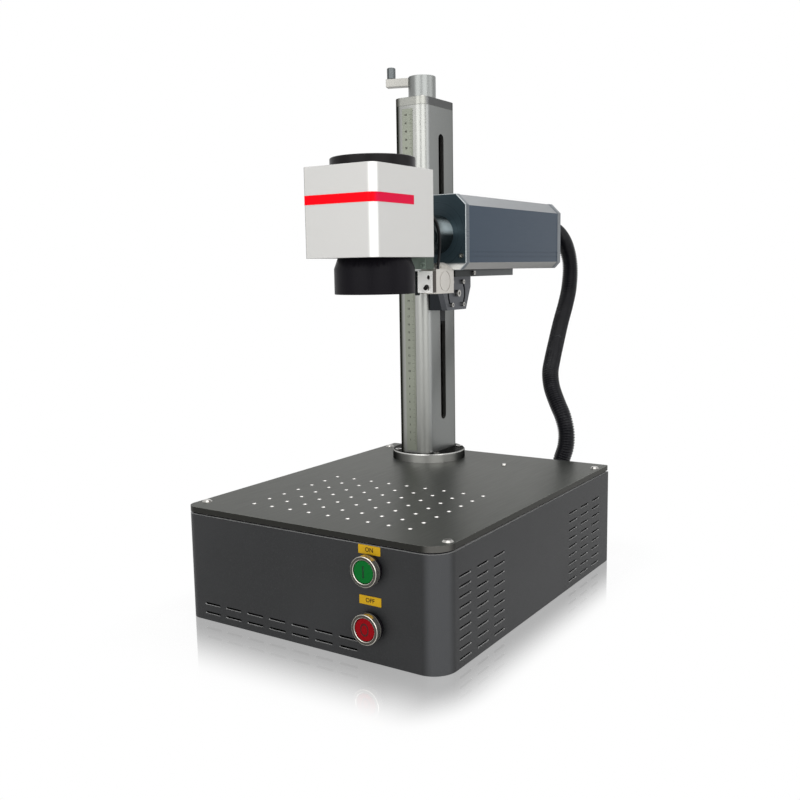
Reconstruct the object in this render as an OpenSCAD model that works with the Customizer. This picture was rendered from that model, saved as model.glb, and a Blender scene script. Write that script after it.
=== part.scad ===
/* [Cabinet] */
// Width of the cabinet, side to side
cabinet_w = 322; // [300:1:360]
// Depth of the cabinet, front to back
cabinet_d = 412; // [400:1:450]
// Height of the sheet-metal cabinet
cabinet_h = 116; // [116:1:140]
// Thickness of the cabinet's sheet
sheet_t = 1.5; // [1:0.1:2]
// Radius of the two upright front corners
corner_r = 25; // [15:1:30]
// Radius of the cabinet's front left corner
left_corner_r = 14; // [10:1:15]
// Width of the folded edge that carries the work plate
return_w = 16; // [14:1:24]
// Height of the bottom pan's folded edge
pan_edge_h = 5; // [3:0.5:6]

/* [Vents] */
// Length of one side vent slot
side_vent_l = 23; // [15:1:26]
// Length of one front vent slot
front_vent_l = 22; // [15:1:25]
// Height of a vent slot
vent_h = 2.6; // [2:0.1:4]
// Height from one row of slots to the next
vent_row_pitch = 10.1; // [8:0.1:10.5]
// Height of the lowest row's centre above the floor
vent_bottom = 8.7; // [7:0.1:10]
// Spacing of the side slots along the depth
side_vent_pitch = 35; // [30:1:38]
// Distance from a corner of the cabinet to the nearest side slot's centre
side_vent_inset = 42; // [40:1:50]
// Spacing of the front slots along the width
front_vent_pitch = 30; // [28:1:30]
// Distance from the left side to the first front slot's centre
front_vent_inset = 35; // [32:1:40]

/* [Work plate] */
// Thickness of the work plate
plate_t = 6; // [5:0.5:8]
// Height of the dark seal under the plate
seal_t = 2; // [1:0.5:3]
// Radius of the plate's rear corners
plate_rear_r = 3; // [2:0.5:10]
// Spacing of the tapped fixture holes
grid_pitch = 25; // [20:1:26]
// Radius of a fixture hole
grid_hole_r = 2.5; // [2:0.1:3]
// Fixture holes across the width
grid_cols = 9; // [5:2:9]
// Fixture holes along the depth
grid_rows = 7; // [3:2:7]
// Distance from the plate's centre forward to the grid's centre
grid_forward = 88; // [80:1:90]

/* [Buttons] */
// Distance of the buttons to the right of the cabinet's centre
button_x = 82.5; // [75:0.5:95]
// Height of the green button's centre
green_z = 93.5; // [85:0.5:93.5]
// Height of the red button's centre
red_z = 37; // [30:0.5:45]
// Outer diameter of a button's bright ring
bezel_d = 30; // [28:0.5:32]
// How far the bright ring reaches from its collar
bezel_l = 10; // [8:0.5:12]
// Thickness of the black collar behind the ring
collar_t = 3; // [2:0.5:4]
// Diameter of the coloured cap
cap_d = 22; // [20:0.5:23]
// Travel of a button
button_travel = 3; // [2:0.5:3]

/* [Column] */
// Distance of the column's centre from the cabinet's centre, to the left
column_left = 69; // [65:1:72]
// Distance of the column's centre from the cabinet's centre, to the rear
column_back = 150; // [145:1:155]
// Width of the column, side to side
column_w = 47; // [44:1:50]
// Depth of the column, front to back
column_d = 79.5; // [76:0.5:84]
// Radius of the column's upright corners
column_r = 12.5; // [10:0.5:14]
// Wall thickness of the column
column_wall = 5; // [4:0.5:5.5]
// Height of the column above the work plate
column_h = 449.5; // [440:0.5:500]
// Thickness of the cap on the column
column_cap_t = 10; // [8:0.5:14]
// Radius of the round foot flange
flange_r = 48; // [47.5:0.5:50]
// Height of the round foot flange
flange_h = 11; // [8:0.5:14]
// Width of the slot in the column's side
slot_w = 12.7; // [12:0.1:14]
// Height of the slot's lower end above the work plate
slot_lo = 52; // [45:1:55]
// Length of the slot
slot_l = 365; // [355:1:375]
// Width of the scale strip on the column's front
strip_w = 15; // [12:0.5:15]

/* [Crank] */
// Distance of the lead screw from the column's centre, to the left
screw_left = 3.6; // [2:0.1:4]
// Radius of the lead screw
screw_r = 8; // [6:0.5:9]
// Diameter of the crank's hub
hub_d = 35; // [32:0.5:38]
// Height of the crank's hub
hub_h = 30; // [26:0.5:32]
// Length of the crank arm, hub axis to knob axis
arm_l = 40; // [36:0.5:44]
// Height of the crank arm's bar
arm_h = 10; // [8:0.5:12]
// Width of the crank arm's bar
arm_w = 12; // [10:0.5:14]
// Angle of the crank arm at rest, from straight left towards the front
arm_turn = 20; // [0:1:40]
// Diameter of the crank's knob
knob_d = 11; // [9:0.5:14]
// Height of the crank's knob
knob_h = 14; // [12:0.5:20]

/* [Carriage] */
// Height of the tilt pivot above the work plate, at rest
pivot_h = 217; // [210:1:225]
// Distance of the tilt pivot forward of the column's centre
pivot_forward = 9.6; // [8:0.1:11]
// Width of the carriage along the column's side
carriage_w = 60; // [58:1:62]
// Height of the carriage below the pivot
carriage_below = 21; // [18:0.5:24]
// Height of the carriage above the pivot
carriage_above = 15; // [10:0.5:16]
// Length of the guide that runs inside the column
guide_l = 120; // [110:1:130]
// Thickness of the rotary plate
rotary_t = 7.7; // [6:0.1:8]
// Half width of the rotary plate
rotary_half_w = 37; // [35:0.5:39]
// Radius of the rotary plate's curved slots
arc_r = 21; // [20:0.5:22]
// Radius of the pivot screw's shoulder
pivot_r = 3; // [2.5:0.1:3.2]

/* [Laser tube] */
// Width of the laser tube
tube_w = 78; // [74:1:82]
// Height of the laser tube
tube_h = 87; // [84:1:92]
// Cut of the tube's two upper edges
tube_cut_top = 13; // [8:0.5:14]
// Cut of the tube's two lower edges
tube_cut_low = 8; // [6:0.5:10]
// Wall thickness of the tube
tube_wall = 4; // [3:0.5:5]
// Distance from the pivot up to the tube's underside
tube_above_pivot = 30; // [28:0.5:32]
// Distance from the cabinet's centre back to the tube's front plate
tube_front_y = 60; // [58:0.5:64]
// Length of the tube's body between its end plates
tube_l = 253; // [240:1:262]
// Thickness of the tube's front plate
front_plate_t = 9; // [7:0.5:10]
// Thickness of the tube's rear plate
rear_plate_t = 10; // [8:0.5:12]
// Length of the plate that clamps the tube
mount_l = 152; // [140:1:170]
// Thickness of the plate that clamps the tube
mount_t = 8.5; // [8:0.5:10]

/* [Scan head] */
// Width of the scan head
head_w = 88; // [86:1:92]
// Depth of the scan head
head_d = 114; // [112:1:120]
// Height of the scan head
head_h = 93; // [90:1:98]
// Radius of the scan head's upright corners
head_r = 9; // [6:0.5:12]
// Radius of the head's other upright corners
head_edge_r = 2; // [1:0.5:4]
// Wall thickness of the scan head's cover
head_wall = 4; // [3:0.5:5]
// Distance from the pivot up to the scan head's underside
head_above_pivot = 44; // [43:0.5:46]
// Distance from the cabinet's centre forward to the scan head's rear wall
head_rear_forward = 18; // [17:0.5:20]
// Distance from the cabinet's centre forward to the lens axis
lens_forward = 70; // [69:0.5:73]
// Diameter of the lens barrel
lens_d = 86.6; // [80:0.2:87]
// Diameter of the lens barrel where it meets the head
lens_neck_d = 78.5; // [74:0.5:80]
// Height of the lens barrel's straight part
lens_h = 27; // [24:0.5:30]
// Height of the lens barrel's sloping part
lens_cone_h = 11; // [9:0.5:12]
// Width of the red stripe
stripe_h = 9.5; // [8:0.5:12]
// Height of the stripe's lower edge above the head's underside
stripe_z = 54.5; // [50:0.5:58]
// Outer diameter of the lens's dust cap
dust_cap_d = 91; // [90:0.5:94]
// Height of the dust cap
dust_cap_h = 11.5; // [9:0.5:14]

/* [Beam adapter and locator] */
// Radius of the round beam adapter
adapter_r = 23; // [22:0.5:26]
// Radius of the ring round the beam adapter
ring_r = 26; // [25:0.5:28]
// Height of the beam adapter's axis above the scan head's underside
adapter_z = 27; // [26.5:0.5:28]
// Width of the locator block
locator_w = 20; // [17:0.5:21]
// Depth of the locator block
locator_d = 40; // [28:0.5:40.5]
// Height of the locator block
locator_h = 28; // [26:0.5:30]
// Distance from the tube's middle to the locator's right side
locator_right = 23; // [22:0.5:25]

/* [Hose] */
// Outer diameter of the ribbed hose
hose_d = 22.6; // [20:0.1:23]
// Bore of the ribbed hose
hose_bore = 17.5; // [15:0.1:18]
// Depth of the groove between two ribs
rib_depth = 1.4; // [0.8:0.1:1.5]
// Ribs on the hose above the point where it is split
upper_ribs = 48; // [20:1:60]
// Ribs on the hose below the point where it is split
lower_ribs = 92; // [60:1:130]

/* [Hidden] */
$fn = 64;

// Overrun of a cut past the face that it opens
cut = 1;
// Gap between two pieces that are assembled and don't move
fit_gap = 0.2;
// Gap between two pieces that slide or turn past each other
slide_gap = 0.3;
// Radial gap of a shaft in its bearing
running_gap = 0.05;
// Radial gap of a screw in its clearance hole
screw_gap = 0.25;

// Levels of the cabinet and the plate
plate_z = cabinet_h + seal_t;
top_z = plate_z + plate_t;
front_y = -cabinet_d / 2;
rear_y = cabinet_d / 2;

// Seal under the plate
seal_inset = 2.5;
seal_w = 3;

// Screws of the work plate
plate_screw_r = 2.5;
plate_screw_head_r = 5.5;
plate_screw_head_h = 1.8;
plate_screw_l = 11;
plate_screw_side = 8.5;
plate_screw_end = 25;
spare_screw_x = 46;
spare_screw_back = 144;

// Rear panel, its hems and its screws
hem_w = 12;
panel_screw_r = 1.5;
panel_screw_head_r = 3;
panel_screw_head_h = 1.6;
panel_screw_l = 5;
panel_screw_side = 7.5;
panel_screw_rows = 3;
panel_screw_margin = 16;

// Buttons
barrel_r = 11;
plunger_r = 6;
cap_t = 6;
cap_recess = 0.5;
cap_gap = 0.5;
barrel_l = 17;
locknut_r = 14.5;
locknut_t = 3;
switch_w = 24;
switch_l = 30;
switch_grip_l = 10;
switch_grip_r = 12.5;
collar_r = 13.5;
tag_w = 25;
tag_h = 8.7;
tag_t = 0.6;
green_tag_rise = 13.6;
red_tag_rise = 20.4;
tag_x = button_x - 1;

// Laser source, power supply and control board
source_h = 72;
source_right_gap = 12;
source_front_gap = 75;
source_rear_gap = 122;
inner_gap = 11;
source_rib_t = 2;
source_ribs = 11;
source_rib_h = 5;
supply_w = 97;
supply_h = 34;
supply_side_gap = 6;
supply_rear_gap = 42;
supply_front_gap = 38;
terminal_w = 60;
terminal_l = 12;
terminal_h = 12;
board_w = 100;
board_l = 150;
board_t = 1.6;
board_post_h = 6;
board_post_r = 3;
board_post_inset = 6;
board_side_gap = 6;
board_front_gap = 20;
source_w = cabinet_w - 2 * sheet_t - source_right_gap - inner_gap - board_w - board_side_gap;
source_l = cabinet_d - source_front_gap - source_rear_gap;
supply_l = cabinet_d - supply_rear_gap - board_front_gap - board_l - supply_front_gap - terminal_l;
chip_w = 22;
chip_t = 4;
chip_rows = 3;
chip_pitch = 42;

// Cooling fan
fan_w = 80;
fan_t = 25;
fan_side_gap = 60;
fan_x = -cabinet_w / 2 + fan_side_gap;
fan_z = 58;
fan_bore_r = 38;
fan_hole_r = 2.2;
fan_hole_span = 71.5;
fan_hub_r = 16;
fan_tip_gap = 1.5;
fan_blades = 7;
fan_blade_t = 1.6;
fan_blade_tilt = 35;
fan_strut_w = 4;
fan_strut_t = 3;
fan_axle_r = 2;
grille_slots = 7;
grille_slot_h = 5;
grille_pitch = 9;

// Power inlet, signal port and hose elbow
inlet_gap = 71;
inlet_x = fan_x + inlet_gap;
inlet_z = 48;
inlet_w = 48;
inlet_h = 28;
inlet_l = 30;
inlet_lip = 3;
inlet_lip_t = 2.5;
inlet_socket_w = 24;
inlet_socket_h = 17;
inlet_socket_l = 16;
inlet_switch_w = 12;
inlet_switch_x = 16;
inlet_socket_x = -8;
port_x = inlet_x;
port_z = 86;
port_w = 30;
port_h = 12;
port_l = 12;
port_lip = 4;
port_lip_t = 1;
port_shell_l = 6;
port_wall = 1;
elbow_side_gap = 81;
elbow_x = cabinet_w / 2 - elbow_side_gap;
elbow_z = 56;
elbow_out = 40;
elbow_r = 12;
elbow_bore_r = 8;
elbow_up = 32;
elbow_nut_r = 16;
elbow_nut_t = 7;
elbow_inner_nut_t = 5;
elbow_neck_r = 10;
elbow_collar_r = 14;
elbow_collar_h = 14;

// Column and its flange
column_x = -column_left;
column_y = column_back;
column_top = top_z + column_h;
column_face_x = column_x + column_w / 2;
column_front_y = column_y - column_d / 2;
flange_bevel = 1.2;
flange_screw_r = 41.5;
flange_screw_head_r = 4;
flange_screw_head_h = 3;
flange_screw_shank_r = 2.5;
flange_screw_sink = 2;
cap_screw_head_r = 3;
cap_screw_head_h = 1.8;
cap_screw_x = 14;
cap_screw_y = 28;
strip_t = 0.5;
strip_lo = 14;
strip_hi = 4;
strip_left = 1.2;

// Lead screw, bearings and crank
screw_x = column_x - screw_left;
bearing_h = 12;
screw_foot_gap = 2;
hub_seat = 16;
hub_z = column_top + column_cap_t + slide_gap;
hub_top_z = hub_z + hub_h;
arm_drop = 1;
arm_z = hub_top_z - arm_drop - arm_h;
arm_end = 6;
knob_pin_r = 2.5;
knob_cap_t = 1.5;
knob_edge = 1;

// Guide, nut and carriage
pivot_z = top_z + pivot_h;
pivot_y = column_y - pivot_forward;
guide_gap = 0.5;
guide_above = 79;
neck_gap = 0.6;
neck_margin = 5;
carriage_gap = 0.4;
carriage_x0 = column_face_x + carriage_gap;
carriage_t = 18.2;
carriage_front = 23;
carriage_x1 = carriage_x0 + carriage_t;
guide_pin_r = 1.5;
guide_pin_gap = 0.3;
guide_pin_end = 1.5;
pivot_head_r = 4.3;
pivot_head_h = 3.6;
pivot_socket_r = 2;
pivot_socket_d = 2;

// Rotary plate, seen from the right: heights are from the pivot
rotary_x0 = carriage_x1 + slide_gap;
rotary_x1 = rotary_x0 + rotary_t;
rotary_top = tube_above_pivot - mount_t;
rotary_knee = 8;
rotary_low = 20.9;
rotary_low_half_w = 24.3;
rotary_screw_y = 14.1;
rotary_screw_z = 14.3;
rotary_screw_head_r = 2.8;
rotary_screw_head_h = 3;
rotary_socket_r = 1.4;
rotary_socket_d = 1.6;
rotary_shank_r = 1.5;
rotary_shank_l = 6;
arc_half_turn = 32;
arc_steps = 12;

// Tube and the plate that clamps it
tube_z0 = pivot_z + tube_above_pivot;
tube_body_y = tube_front_y + front_plate_t;
tube_rear_y = tube_body_y + tube_l;
tube_end_y = tube_rear_y + rear_plate_t;
end_plate_over = 0.6;
groove_d = 0.6;
groove_w = 1.4;
groove_heights = [15, 20.5];
mount_x0 = rotary_x0;
mount_x1 = 24;
mount_front = 2;
mount_y = tube_front_y + mount_front;
mount_screw_x = 12;
mount_screw_inset = 48;
mount_screw_r = 3.5;
mount_screw_h = 3;
mount_side_screw_back = 43.5;
mount_side_screw_r = 2.5;
mount_side_screw_h = 2.5;
tube_screw_x = 34.5;
tube_screw_z = 16;
tube_screw_r = 2.75;
tube_screw_h = 3;
tube_screw_top_z = 68;
isolator_r = 25;
isolator_l = 150;
isolator_step_r = 18;
isolator_step_l = 30;

// Hose: its two ends, its points and its split
gland_x = 15;
gland_up = 53;
gland_r = 15;
gland_nut_t = 6;
gland_l = 10;
gland_neck_r = 9;
gland_tail_r = 12.5;
gland_bore_r = 7.5;

// Scan head
head_z0 = pivot_z + head_above_pivot;
head_z1 = head_z0 + head_h;
head_y1 = -head_rear_forward;
head_y0 = head_y1 - head_d;
head_y = (head_y0 + head_y1) / 2;
lens_y = -lens_forward;
head_base_t = 6;
lens_thread_r = 30;
lens_thread_h = 6;
lens_wall = 5;
lens_lip = 2.5;
lens_lip_h = 3;
glass_r = 35;
glass_edge_t = 5;
glass_bulge = 3;
glass_steps = 8;
stripe_t = 0.3;
stripe_side_l = 73;

// Scanning mirrors and their motors
beam_x = 14;
mirror_up = 33;
mirror_z = head_z0 + mirror_up;
motor_r = 12;
motor_l = 32;
motor_end_gap = 3;
motor_shaft_r = 2;
motor_shaft_l = 9;
mirror_t = 2;
mirror_x_w = 14;
mirror_x_h = 14;
mirror_y_w = 16;
mirror_y_l = 22;
galvo_wall = 4;
galvo_front_gap = 3;

// Dust cap, laid on the scan head
dust_cap_x = -2;
dust_cap_forward = 67;
dust_cap_wall = 2.5;
dust_cap_edge = 1;

// Beam adapter
axis_z = head_z0 + adapter_z;
ring_y = 4;
ring_t = 8;
adapter_foot_r = 30;
adapter_foot_t = 5;
adapter_bore_r = 6;

// Locator under the beam adapter
locator_drop = 13;
locator_z1 = head_z0 - locator_drop;
locator_front_y = 20;
locator_mount_w = 42;
locator_mount_d = 18;
locator_mount_h = 19;
locator_web_x = 13;
locator_web_d = 30;
locator_cap_screw_x = 17.5;
locator_cap_screw_r = 3.2;
locator_cap_screw_h = 2;
locator_cap_screw_up = 4.5;
locator_x1 = locator_right;
locator_x0 = locator_right - locator_w;
arch_inset = 3.8;
arch_t = 5.9;
arch_rise = 7.5;
arch_r = (pow(locator_d / 2, 2) + pow(arch_rise, 2)) / (2 * arch_rise);
arch_screw_r = 1.8;
arch_screw_h = 1;
arch_screw_up = 3;
arch_screw_y = 17.4;
dial_r = 12;
dial_w = 1;
dial_d = 0.5;
clamp_t = 7.7;
clamp_pin_x = 12;
clamp_pin_up = 4.5;
clamp_pin_r = 2;
clamp_pin_l = 8;
clamp_head_r = 3.2;
clamp_head_h = 2.5;
clamp_hole_x = 14.5;
clamp_hole_up = 16.5;
clamp_hole_r = 1.8;
clamp_hole_d = 4;
clamp_low_inset = 1.5;
clamp_high_inset = 2;
barrel_pointer_r = 4;
barrel_bite = 1;
barrel_tip_l = 3;
barrel_tip_r = 3;
lead_r = 1.7;
lead_inset = 1.9;
lead_foot_back = 7;
lead_head_x = 30.5;
lead_head_up = 46;
lead_sides = 12;
clamp_y = locator_front_y - slide_gap - clamp_t;
clamp_z = locator_z1 - locator_h + clamp_low_inset;
clamp_h = locator_h - clamp_low_inset - clamp_high_inset;

// A rectangle; radii are those of its corners, anticlockwise from the rear right
module corner_rect(w, d, radii) {
    corners = [[1, 1], [-1, 1], [-1, -1], [1, -1]];
    difference() {
        square([w, d], center = true);
        for (i = [0:3])
            if (radii[i] > 0) translate([corners[i][0] * w / 2, corners[i][1] * d / 2])
                square(2 * radii[i], center = true);
    }
    for (i = [0:3])
        translate([corners[i][0] * (w / 2 - radii[i]), corners[i][1] * (d / 2 - radii[i])])
            if (radii[i] > 0) circle(radii[i]);
}

// Outline of the cabinet, drawn in by inset
module cabinet_outline(inset, rear_r) {
    corner_rect(cabinet_w - 2 * inset, cabinet_d - 2 * inset,
        [rear_r, rear_r, left_corner_r - inset, corner_r - inset]);
}

module rounded_rect(w, d, r) {
    square([w - 2 * r, d], center = true);
    square([w, d - 2 * r], center = true);
    for (x = [-1, 1], y = [-1, 1])
        translate([x * (w / 2 - r), y * (d / 2 - r)]) circle(r);
}

module vent_slot(l) {
    square([l - vent_h, vent_h], center = true);
    for (x = [-1, 1]) translate([x * (l - vent_h) / 2, 0]) circle(vent_h / 2, $fn = 16);
}

// A flat drawing laid on the YZ plane at x, thick towards +X
module on_side(x, t) {
    translate([x, 0, 0]) rotate([90, 0, 90]) linear_extrude(t) children();
}

// A flat drawing laid on the XZ plane at y, thick towards +Y
module on_front(y, t) {
    translate([0, y + t, 0]) rotate([90, 0, 0]) linear_extrude(t) children();
}

// A round bar along Y from y to y + l
module bar_y(x, y, z, r, l) {
    translate([x, y + l, z]) rotate([90, 0, 0]) cylinder(h = l, r = r);
}

// A round bar along X from x to x + l
module bar_x(x, y, z, r, l) {
    translate([x, y, z]) rotate([0, 90, 0]) cylinder(h = l, r = r);
}

// Head of a socket screw, its seat at the origin and its socket towards +Z
module socket_head(r, h, socket_r, socket_d) {
    difference() {
        cylinder(h = h, r = r, $fn = 32);
        translate([0, 0, h - socket_d]) cylinder(h = socket_d + cut, r = socket_r, $fn = 6);
    }
}

// Cabinet

module side_vents() {
    for (end = [-1, 1], col = [0:2], row = [0:8])
        translate([end * (cabinet_d / 2 - side_vent_inset - col * side_vent_pitch),
            vent_bottom + row * vent_row_pitch]) vent_slot(side_vent_l);
}

module front_vents() {
    for (col = [0:6], row = [0:1])
        translate([-cabinet_w / 2 + front_vent_inset + col * front_vent_pitch,
            vent_bottom + row * vent_row_pitch]) vent_slot(front_vent_l);
}

function plate_screw_places() = [for (x = [-1, 1], y = [-1, 1])
    [x * (cabinet_w / 2 - plate_screw_side), y * (cabinet_d / 2 - plate_screw_end)]];

module cabinet_shell() {
    color([0.24, 0.24, 0.26]) difference() {
        union() {
            linear_extrude(cabinet_h) difference() {
                cabinet_outline(0, 0);
                cabinet_outline(sheet_t, 0);
                translate([-cabinet_w / 2 + sheet_t, rear_y - sheet_t - cut])
                    square([cabinet_w - 2 * sheet_t, sheet_t + 2 * cut]);
            }
            translate([0, 0, cabinet_h - sheet_t]) linear_extrude(sheet_t) difference() {
                cabinet_outline(0, 0);
                translate([-cabinet_w / 2 + return_w, front_y + return_w])
                    square([cabinet_w - 2 * return_w, cabinet_d]);
                translate([-cabinet_w / 2 + sheet_t, rear_y - sheet_t - fit_gap])
                    square([cabinet_w - 2 * sheet_t, sheet_t + fit_gap + cut]);
            }
            for (side = [-1, 1])
                translate([side * (cabinet_w / 2 - hem_w / 2), rear_y - 1.5 * sheet_t, cabinet_h / 2])
                    cube([hem_w, sheet_t, cabinet_h], center = true);
        }
        on_side(-cabinet_w / 2 - cut, cabinet_w + 2 * cut) side_vents();
        on_front(front_y - cut, sheet_t + 2 * cut) front_vents();
        for (z = [green_z, red_z])
            bar_y(button_x, front_y - cut, z, barrel_r + fit_gap, sheet_t + 2 * cut);
        for (p = plate_screw_places())
            translate([p[0], p[1], cabinet_h - sheet_t - cut])
                cylinder(h = sheet_t + 2 * cut, r = plate_screw_r, $fn = 32);
        for (p = panel_screw_places())
            bar_y(p[0], rear_y - 3 * sheet_t, p[1], panel_screw_r, 3 * sheet_t);
    }
}

module bottom_pan() {
    inset = sheet_t + fit_gap;
    color([0.3, 0.3, 0.32]) difference() {
        linear_extrude(pan_edge_h) cabinet_outline(inset, 0);
        translate([0, 0, sheet_t]) linear_extrude(pan_edge_h) cabinet_outline(inset + sheet_t, 0);
        for (side = [-1, 1])
            translate([side * (cabinet_w / 2 - hem_w / 2), rear_y - sheet_t, pan_edge_h / 2])
                cube([hem_w + 2 * fit_gap, 2 * (sheet_t + fit_gap), pan_edge_h + 2 * cut], center = true);
    }
}

function panel_screw_places() = [for (side = [-1, 1], row = [0:panel_screw_rows - 1])
    [side * (cabinet_w / 2 - panel_screw_side), panel_screw_margin
        + row * (cabinet_h - 2 * panel_screw_margin) / (panel_screw_rows - 1)]];

module rear_panel() {
    w = cabinet_w - 2 * sheet_t - 2 * fit_gap;
    color([0.24, 0.24, 0.26]) difference() {
        union() {
            translate([-w / 2, rear_y - sheet_t, 0]) cube([w, sheet_t, cabinet_h]);
            translate([-w / 2 + return_w, rear_y - return_w, cabinet_h - sheet_t])
                cube([w - 2 * return_w, return_w, sheet_t]);
        }
        for (row = [0:grille_slots - 1]) {
            place = row - (grille_slots - 1) / 2;
            slot_half_w = sqrt(pow(fan_bore_r, 2) - pow((abs(place) + 0.5) * grille_pitch, 2));
            translate([fan_x, rear_y, fan_z + place * grille_pitch])
                cube([2 * slot_half_w, 4 * sheet_t, grille_slot_h], center = true);
        }
        for (x = [-1, 1], z = [-1, 1])
            bar_y(fan_x + x * fan_hole_span / 2, rear_y - sheet_t - cut, fan_z + z * fan_hole_span / 2,
                fan_hole_r, sheet_t + 2 * cut);
        translate([inlet_x, rear_y, inlet_z])
            cube([inlet_w + 2 * fit_gap, 4 * sheet_t, inlet_h + 2 * fit_gap], center = true);
        translate([port_x, rear_y, port_z])
            cube([port_w + 2 * fit_gap, 4 * sheet_t, port_h + 2 * fit_gap], center = true);
        bar_y(elbow_x, rear_y - sheet_t - cut, elbow_z, elbow_neck_r + fit_gap, sheet_t + 2 * cut);
        for (p = panel_screw_places())
            bar_y(p[0], rear_y - sheet_t - cut, p[1], panel_screw_r, sheet_t + 2 * cut);
    }
}

module panel_screws() {
    color("silver") {
        for (p = panel_screw_places()) {
            bar_y(p[0], rear_y, p[1], panel_screw_head_r, panel_screw_head_h);
            bar_y(p[0], rear_y - panel_screw_l, p[1], panel_screw_r, panel_screw_l);
        }
        for (x = [-1, 1], z = [-1, 1]) {
            bar_y(fan_x + x * fan_hole_span / 2, rear_y, fan_z + z * fan_hole_span / 2,
                panel_screw_head_r, panel_screw_head_h);
            bar_y(fan_x + x * fan_hole_span / 2, rear_y - panel_screw_l, fan_z + z * fan_hole_span / 2,
                panel_screw_r, panel_screw_l);
        }
    }
}

module plate_seal() {
    color([0.06, 0.06, 0.07]) translate([0, 0, cabinet_h]) linear_extrude(seal_t) difference() {
        cabinet_outline(seal_inset, 0);
        cabinet_outline(seal_inset + seal_w, 0);
    }
}

module top_plate() {
    color([0.37, 0.38, 0.36]) difference() {
        translate([0, 0, plate_z]) linear_extrude(plate_t) cabinet_outline(0, plate_rear_r);
        for (col = [0:grid_cols - 1], row = [0:grid_rows - 1])
            translate([(col - (grid_cols - 1) / 2) * grid_pitch,
                -grid_forward + (row - (grid_rows - 1) / 2) * grid_pitch, plate_z - cut])
                cylinder(h = plate_t + 2 * cut, r = grid_hole_r, $fn = 24);
        for (p = concat(plate_screw_places(), [[spare_screw_x, spare_screw_back]]))
            translate([p[0], p[1], plate_z - cut])
                cylinder(h = plate_t + 2 * cut, r = plate_screw_r + screw_gap, $fn = 32);
        for (p = flange_screw_places())
            translate([p[0], p[1], plate_z - cut])
                cylinder(h = plate_t + 2 * cut, r = flange_screw_shank_r, $fn = 32);
    }
}

module plate_screws() {
    color("silver") for (p = concat(plate_screw_places(), [[spare_screw_x, spare_screw_back]])) {
        main = p[0] != spare_screw_x;
        l = main ? plate_screw_l : plate_t;
        translate([p[0], p[1], top_z - l]) cylinder(h = l, r = plate_screw_r, $fn = 32);
        translate([p[0], p[1], top_z]) cylinder(h = plate_screw_head_h,
            r1 = main ? plate_screw_head_r : plate_screw_r + screw_gap + fit_gap,
            r2 = main ? plate_screw_head_r - plate_screw_head_h : plate_screw_r, $fn = 32);
    }
}

// Buttons

module button_tags() {
    color([0.98, 0.8, 0.1]) for (z = [green_z + green_tag_rise, red_z + red_tag_rise])
        translate([tag_x - tag_w / 2, front_y - tag_t, z]) cube([tag_w, tag_t, tag_h]);
}

module bezel(z) {
    ring_y0 = front_y - collar_t - bezel_l;
    difference() {
        union() {
            bar_y(button_x, ring_y0, z, bezel_d / 2, bezel_l);
            bar_y(button_x, front_y - collar_t, z, collar_r, collar_t);
            bar_y(button_x, front_y - cut, z, barrel_r, barrel_l + cut);
            bar_y(button_x, front_y + sheet_t, z, locknut_r, locknut_t);
        }
        bar_y(button_x, ring_y0 - cut, z, cap_d / 2 + cap_gap,
            cut + cap_recess + cap_t + button_travel + slide_gap);
        bar_y(button_x, ring_y0 - cut, z, plunger_r + running_gap,
            bezel_l + collar_t + barrel_l + 2 * cut);
    }
}

module button_rings() {
    color("silver") {
        bezel(green_z);
        bezel(red_z);
    }
}

module button_cap(z) {
    y0 = front_y - collar_t - bezel_l + cap_recess;
    bar_y(button_x, y0, z, cap_d / 2, cap_t);
    bar_y(button_x, y0 + cap_t, z, plunger_r, bezel_l + collar_t + barrel_l - cap_recess - cap_t);
}

module green_cap() { color([0, 0.47, 0.2]) button_cap(green_z); }

module red_cap() { color([0.7, 0, 0.1]) button_cap(red_z); }

module switch_blocks() {
    color([0.15, 0.15, 0.16]) for (z = [green_z, red_z]) {
        grip_y = front_y + barrel_l - switch_grip_l / 2;
        difference() {
            union() {
                bar_y(button_x, grip_y, z, switch_grip_r, switch_grip_l);
                translate([button_x - switch_w / 2, grip_y + switch_grip_l, z - switch_w / 2])
                    cube([switch_w, switch_l, switch_w]);
            }
            bar_y(button_x, grip_y - cut, z, barrel_r, switch_grip_l + cut);
        }
    }
}

// Inside the cabinet

module laser_source() {
    x0 = cabinet_w / 2 - sheet_t - source_right_gap - source_w;
    y0 = front_y + source_front_gap;
    color([0.55, 0.56, 0.58]) {
        translate([x0, y0, sheet_t]) cube([source_w, source_l, source_h]);
        for (i = [0:source_ribs - 1])
            translate([x0 + i * (source_w - source_rib_t) / (source_ribs - 1), y0, sheet_t + source_h])
                cube([source_rib_t, source_l, source_rib_h]);
    }
}

module power_supply() {
    x0 = -cabinet_w / 2 + sheet_t + supply_side_gap;
    y0 = rear_y - supply_rear_gap - supply_l;
    color([0.7, 0.7, 0.68]) {
        translate([x0, y0, sheet_t]) cube([supply_w, supply_l, supply_h]);
        translate([x0 + (supply_w - terminal_w) / 2, y0 - terminal_l, sheet_t])
            cube([terminal_w, terminal_l, terminal_h]);
    }
}

module control_board() {
    x0 = -cabinet_w / 2 + sheet_t + board_side_gap;
    y0 = front_y + board_front_gap;
    color([0.05, 0.35, 0.2]) {
        translate([x0, y0, sheet_t + board_post_h]) cube([board_w, board_l, board_t]);
        for (x = [board_post_inset, board_w - board_post_inset],
            y = [board_post_inset, board_l - board_post_inset])
            translate([x0 + x, y0 + y, sheet_t]) cylinder(h = board_post_h, r = board_post_r, $fn = 24);
        for (i = [0:chip_rows - 1])
            translate([x0 + board_w / 2 - chip_w / 2, y0 + chip_w + i * chip_pitch,
                sheet_t + board_post_h + board_t]) cube([chip_w, chip_w, chip_t]);
    }
}

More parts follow.
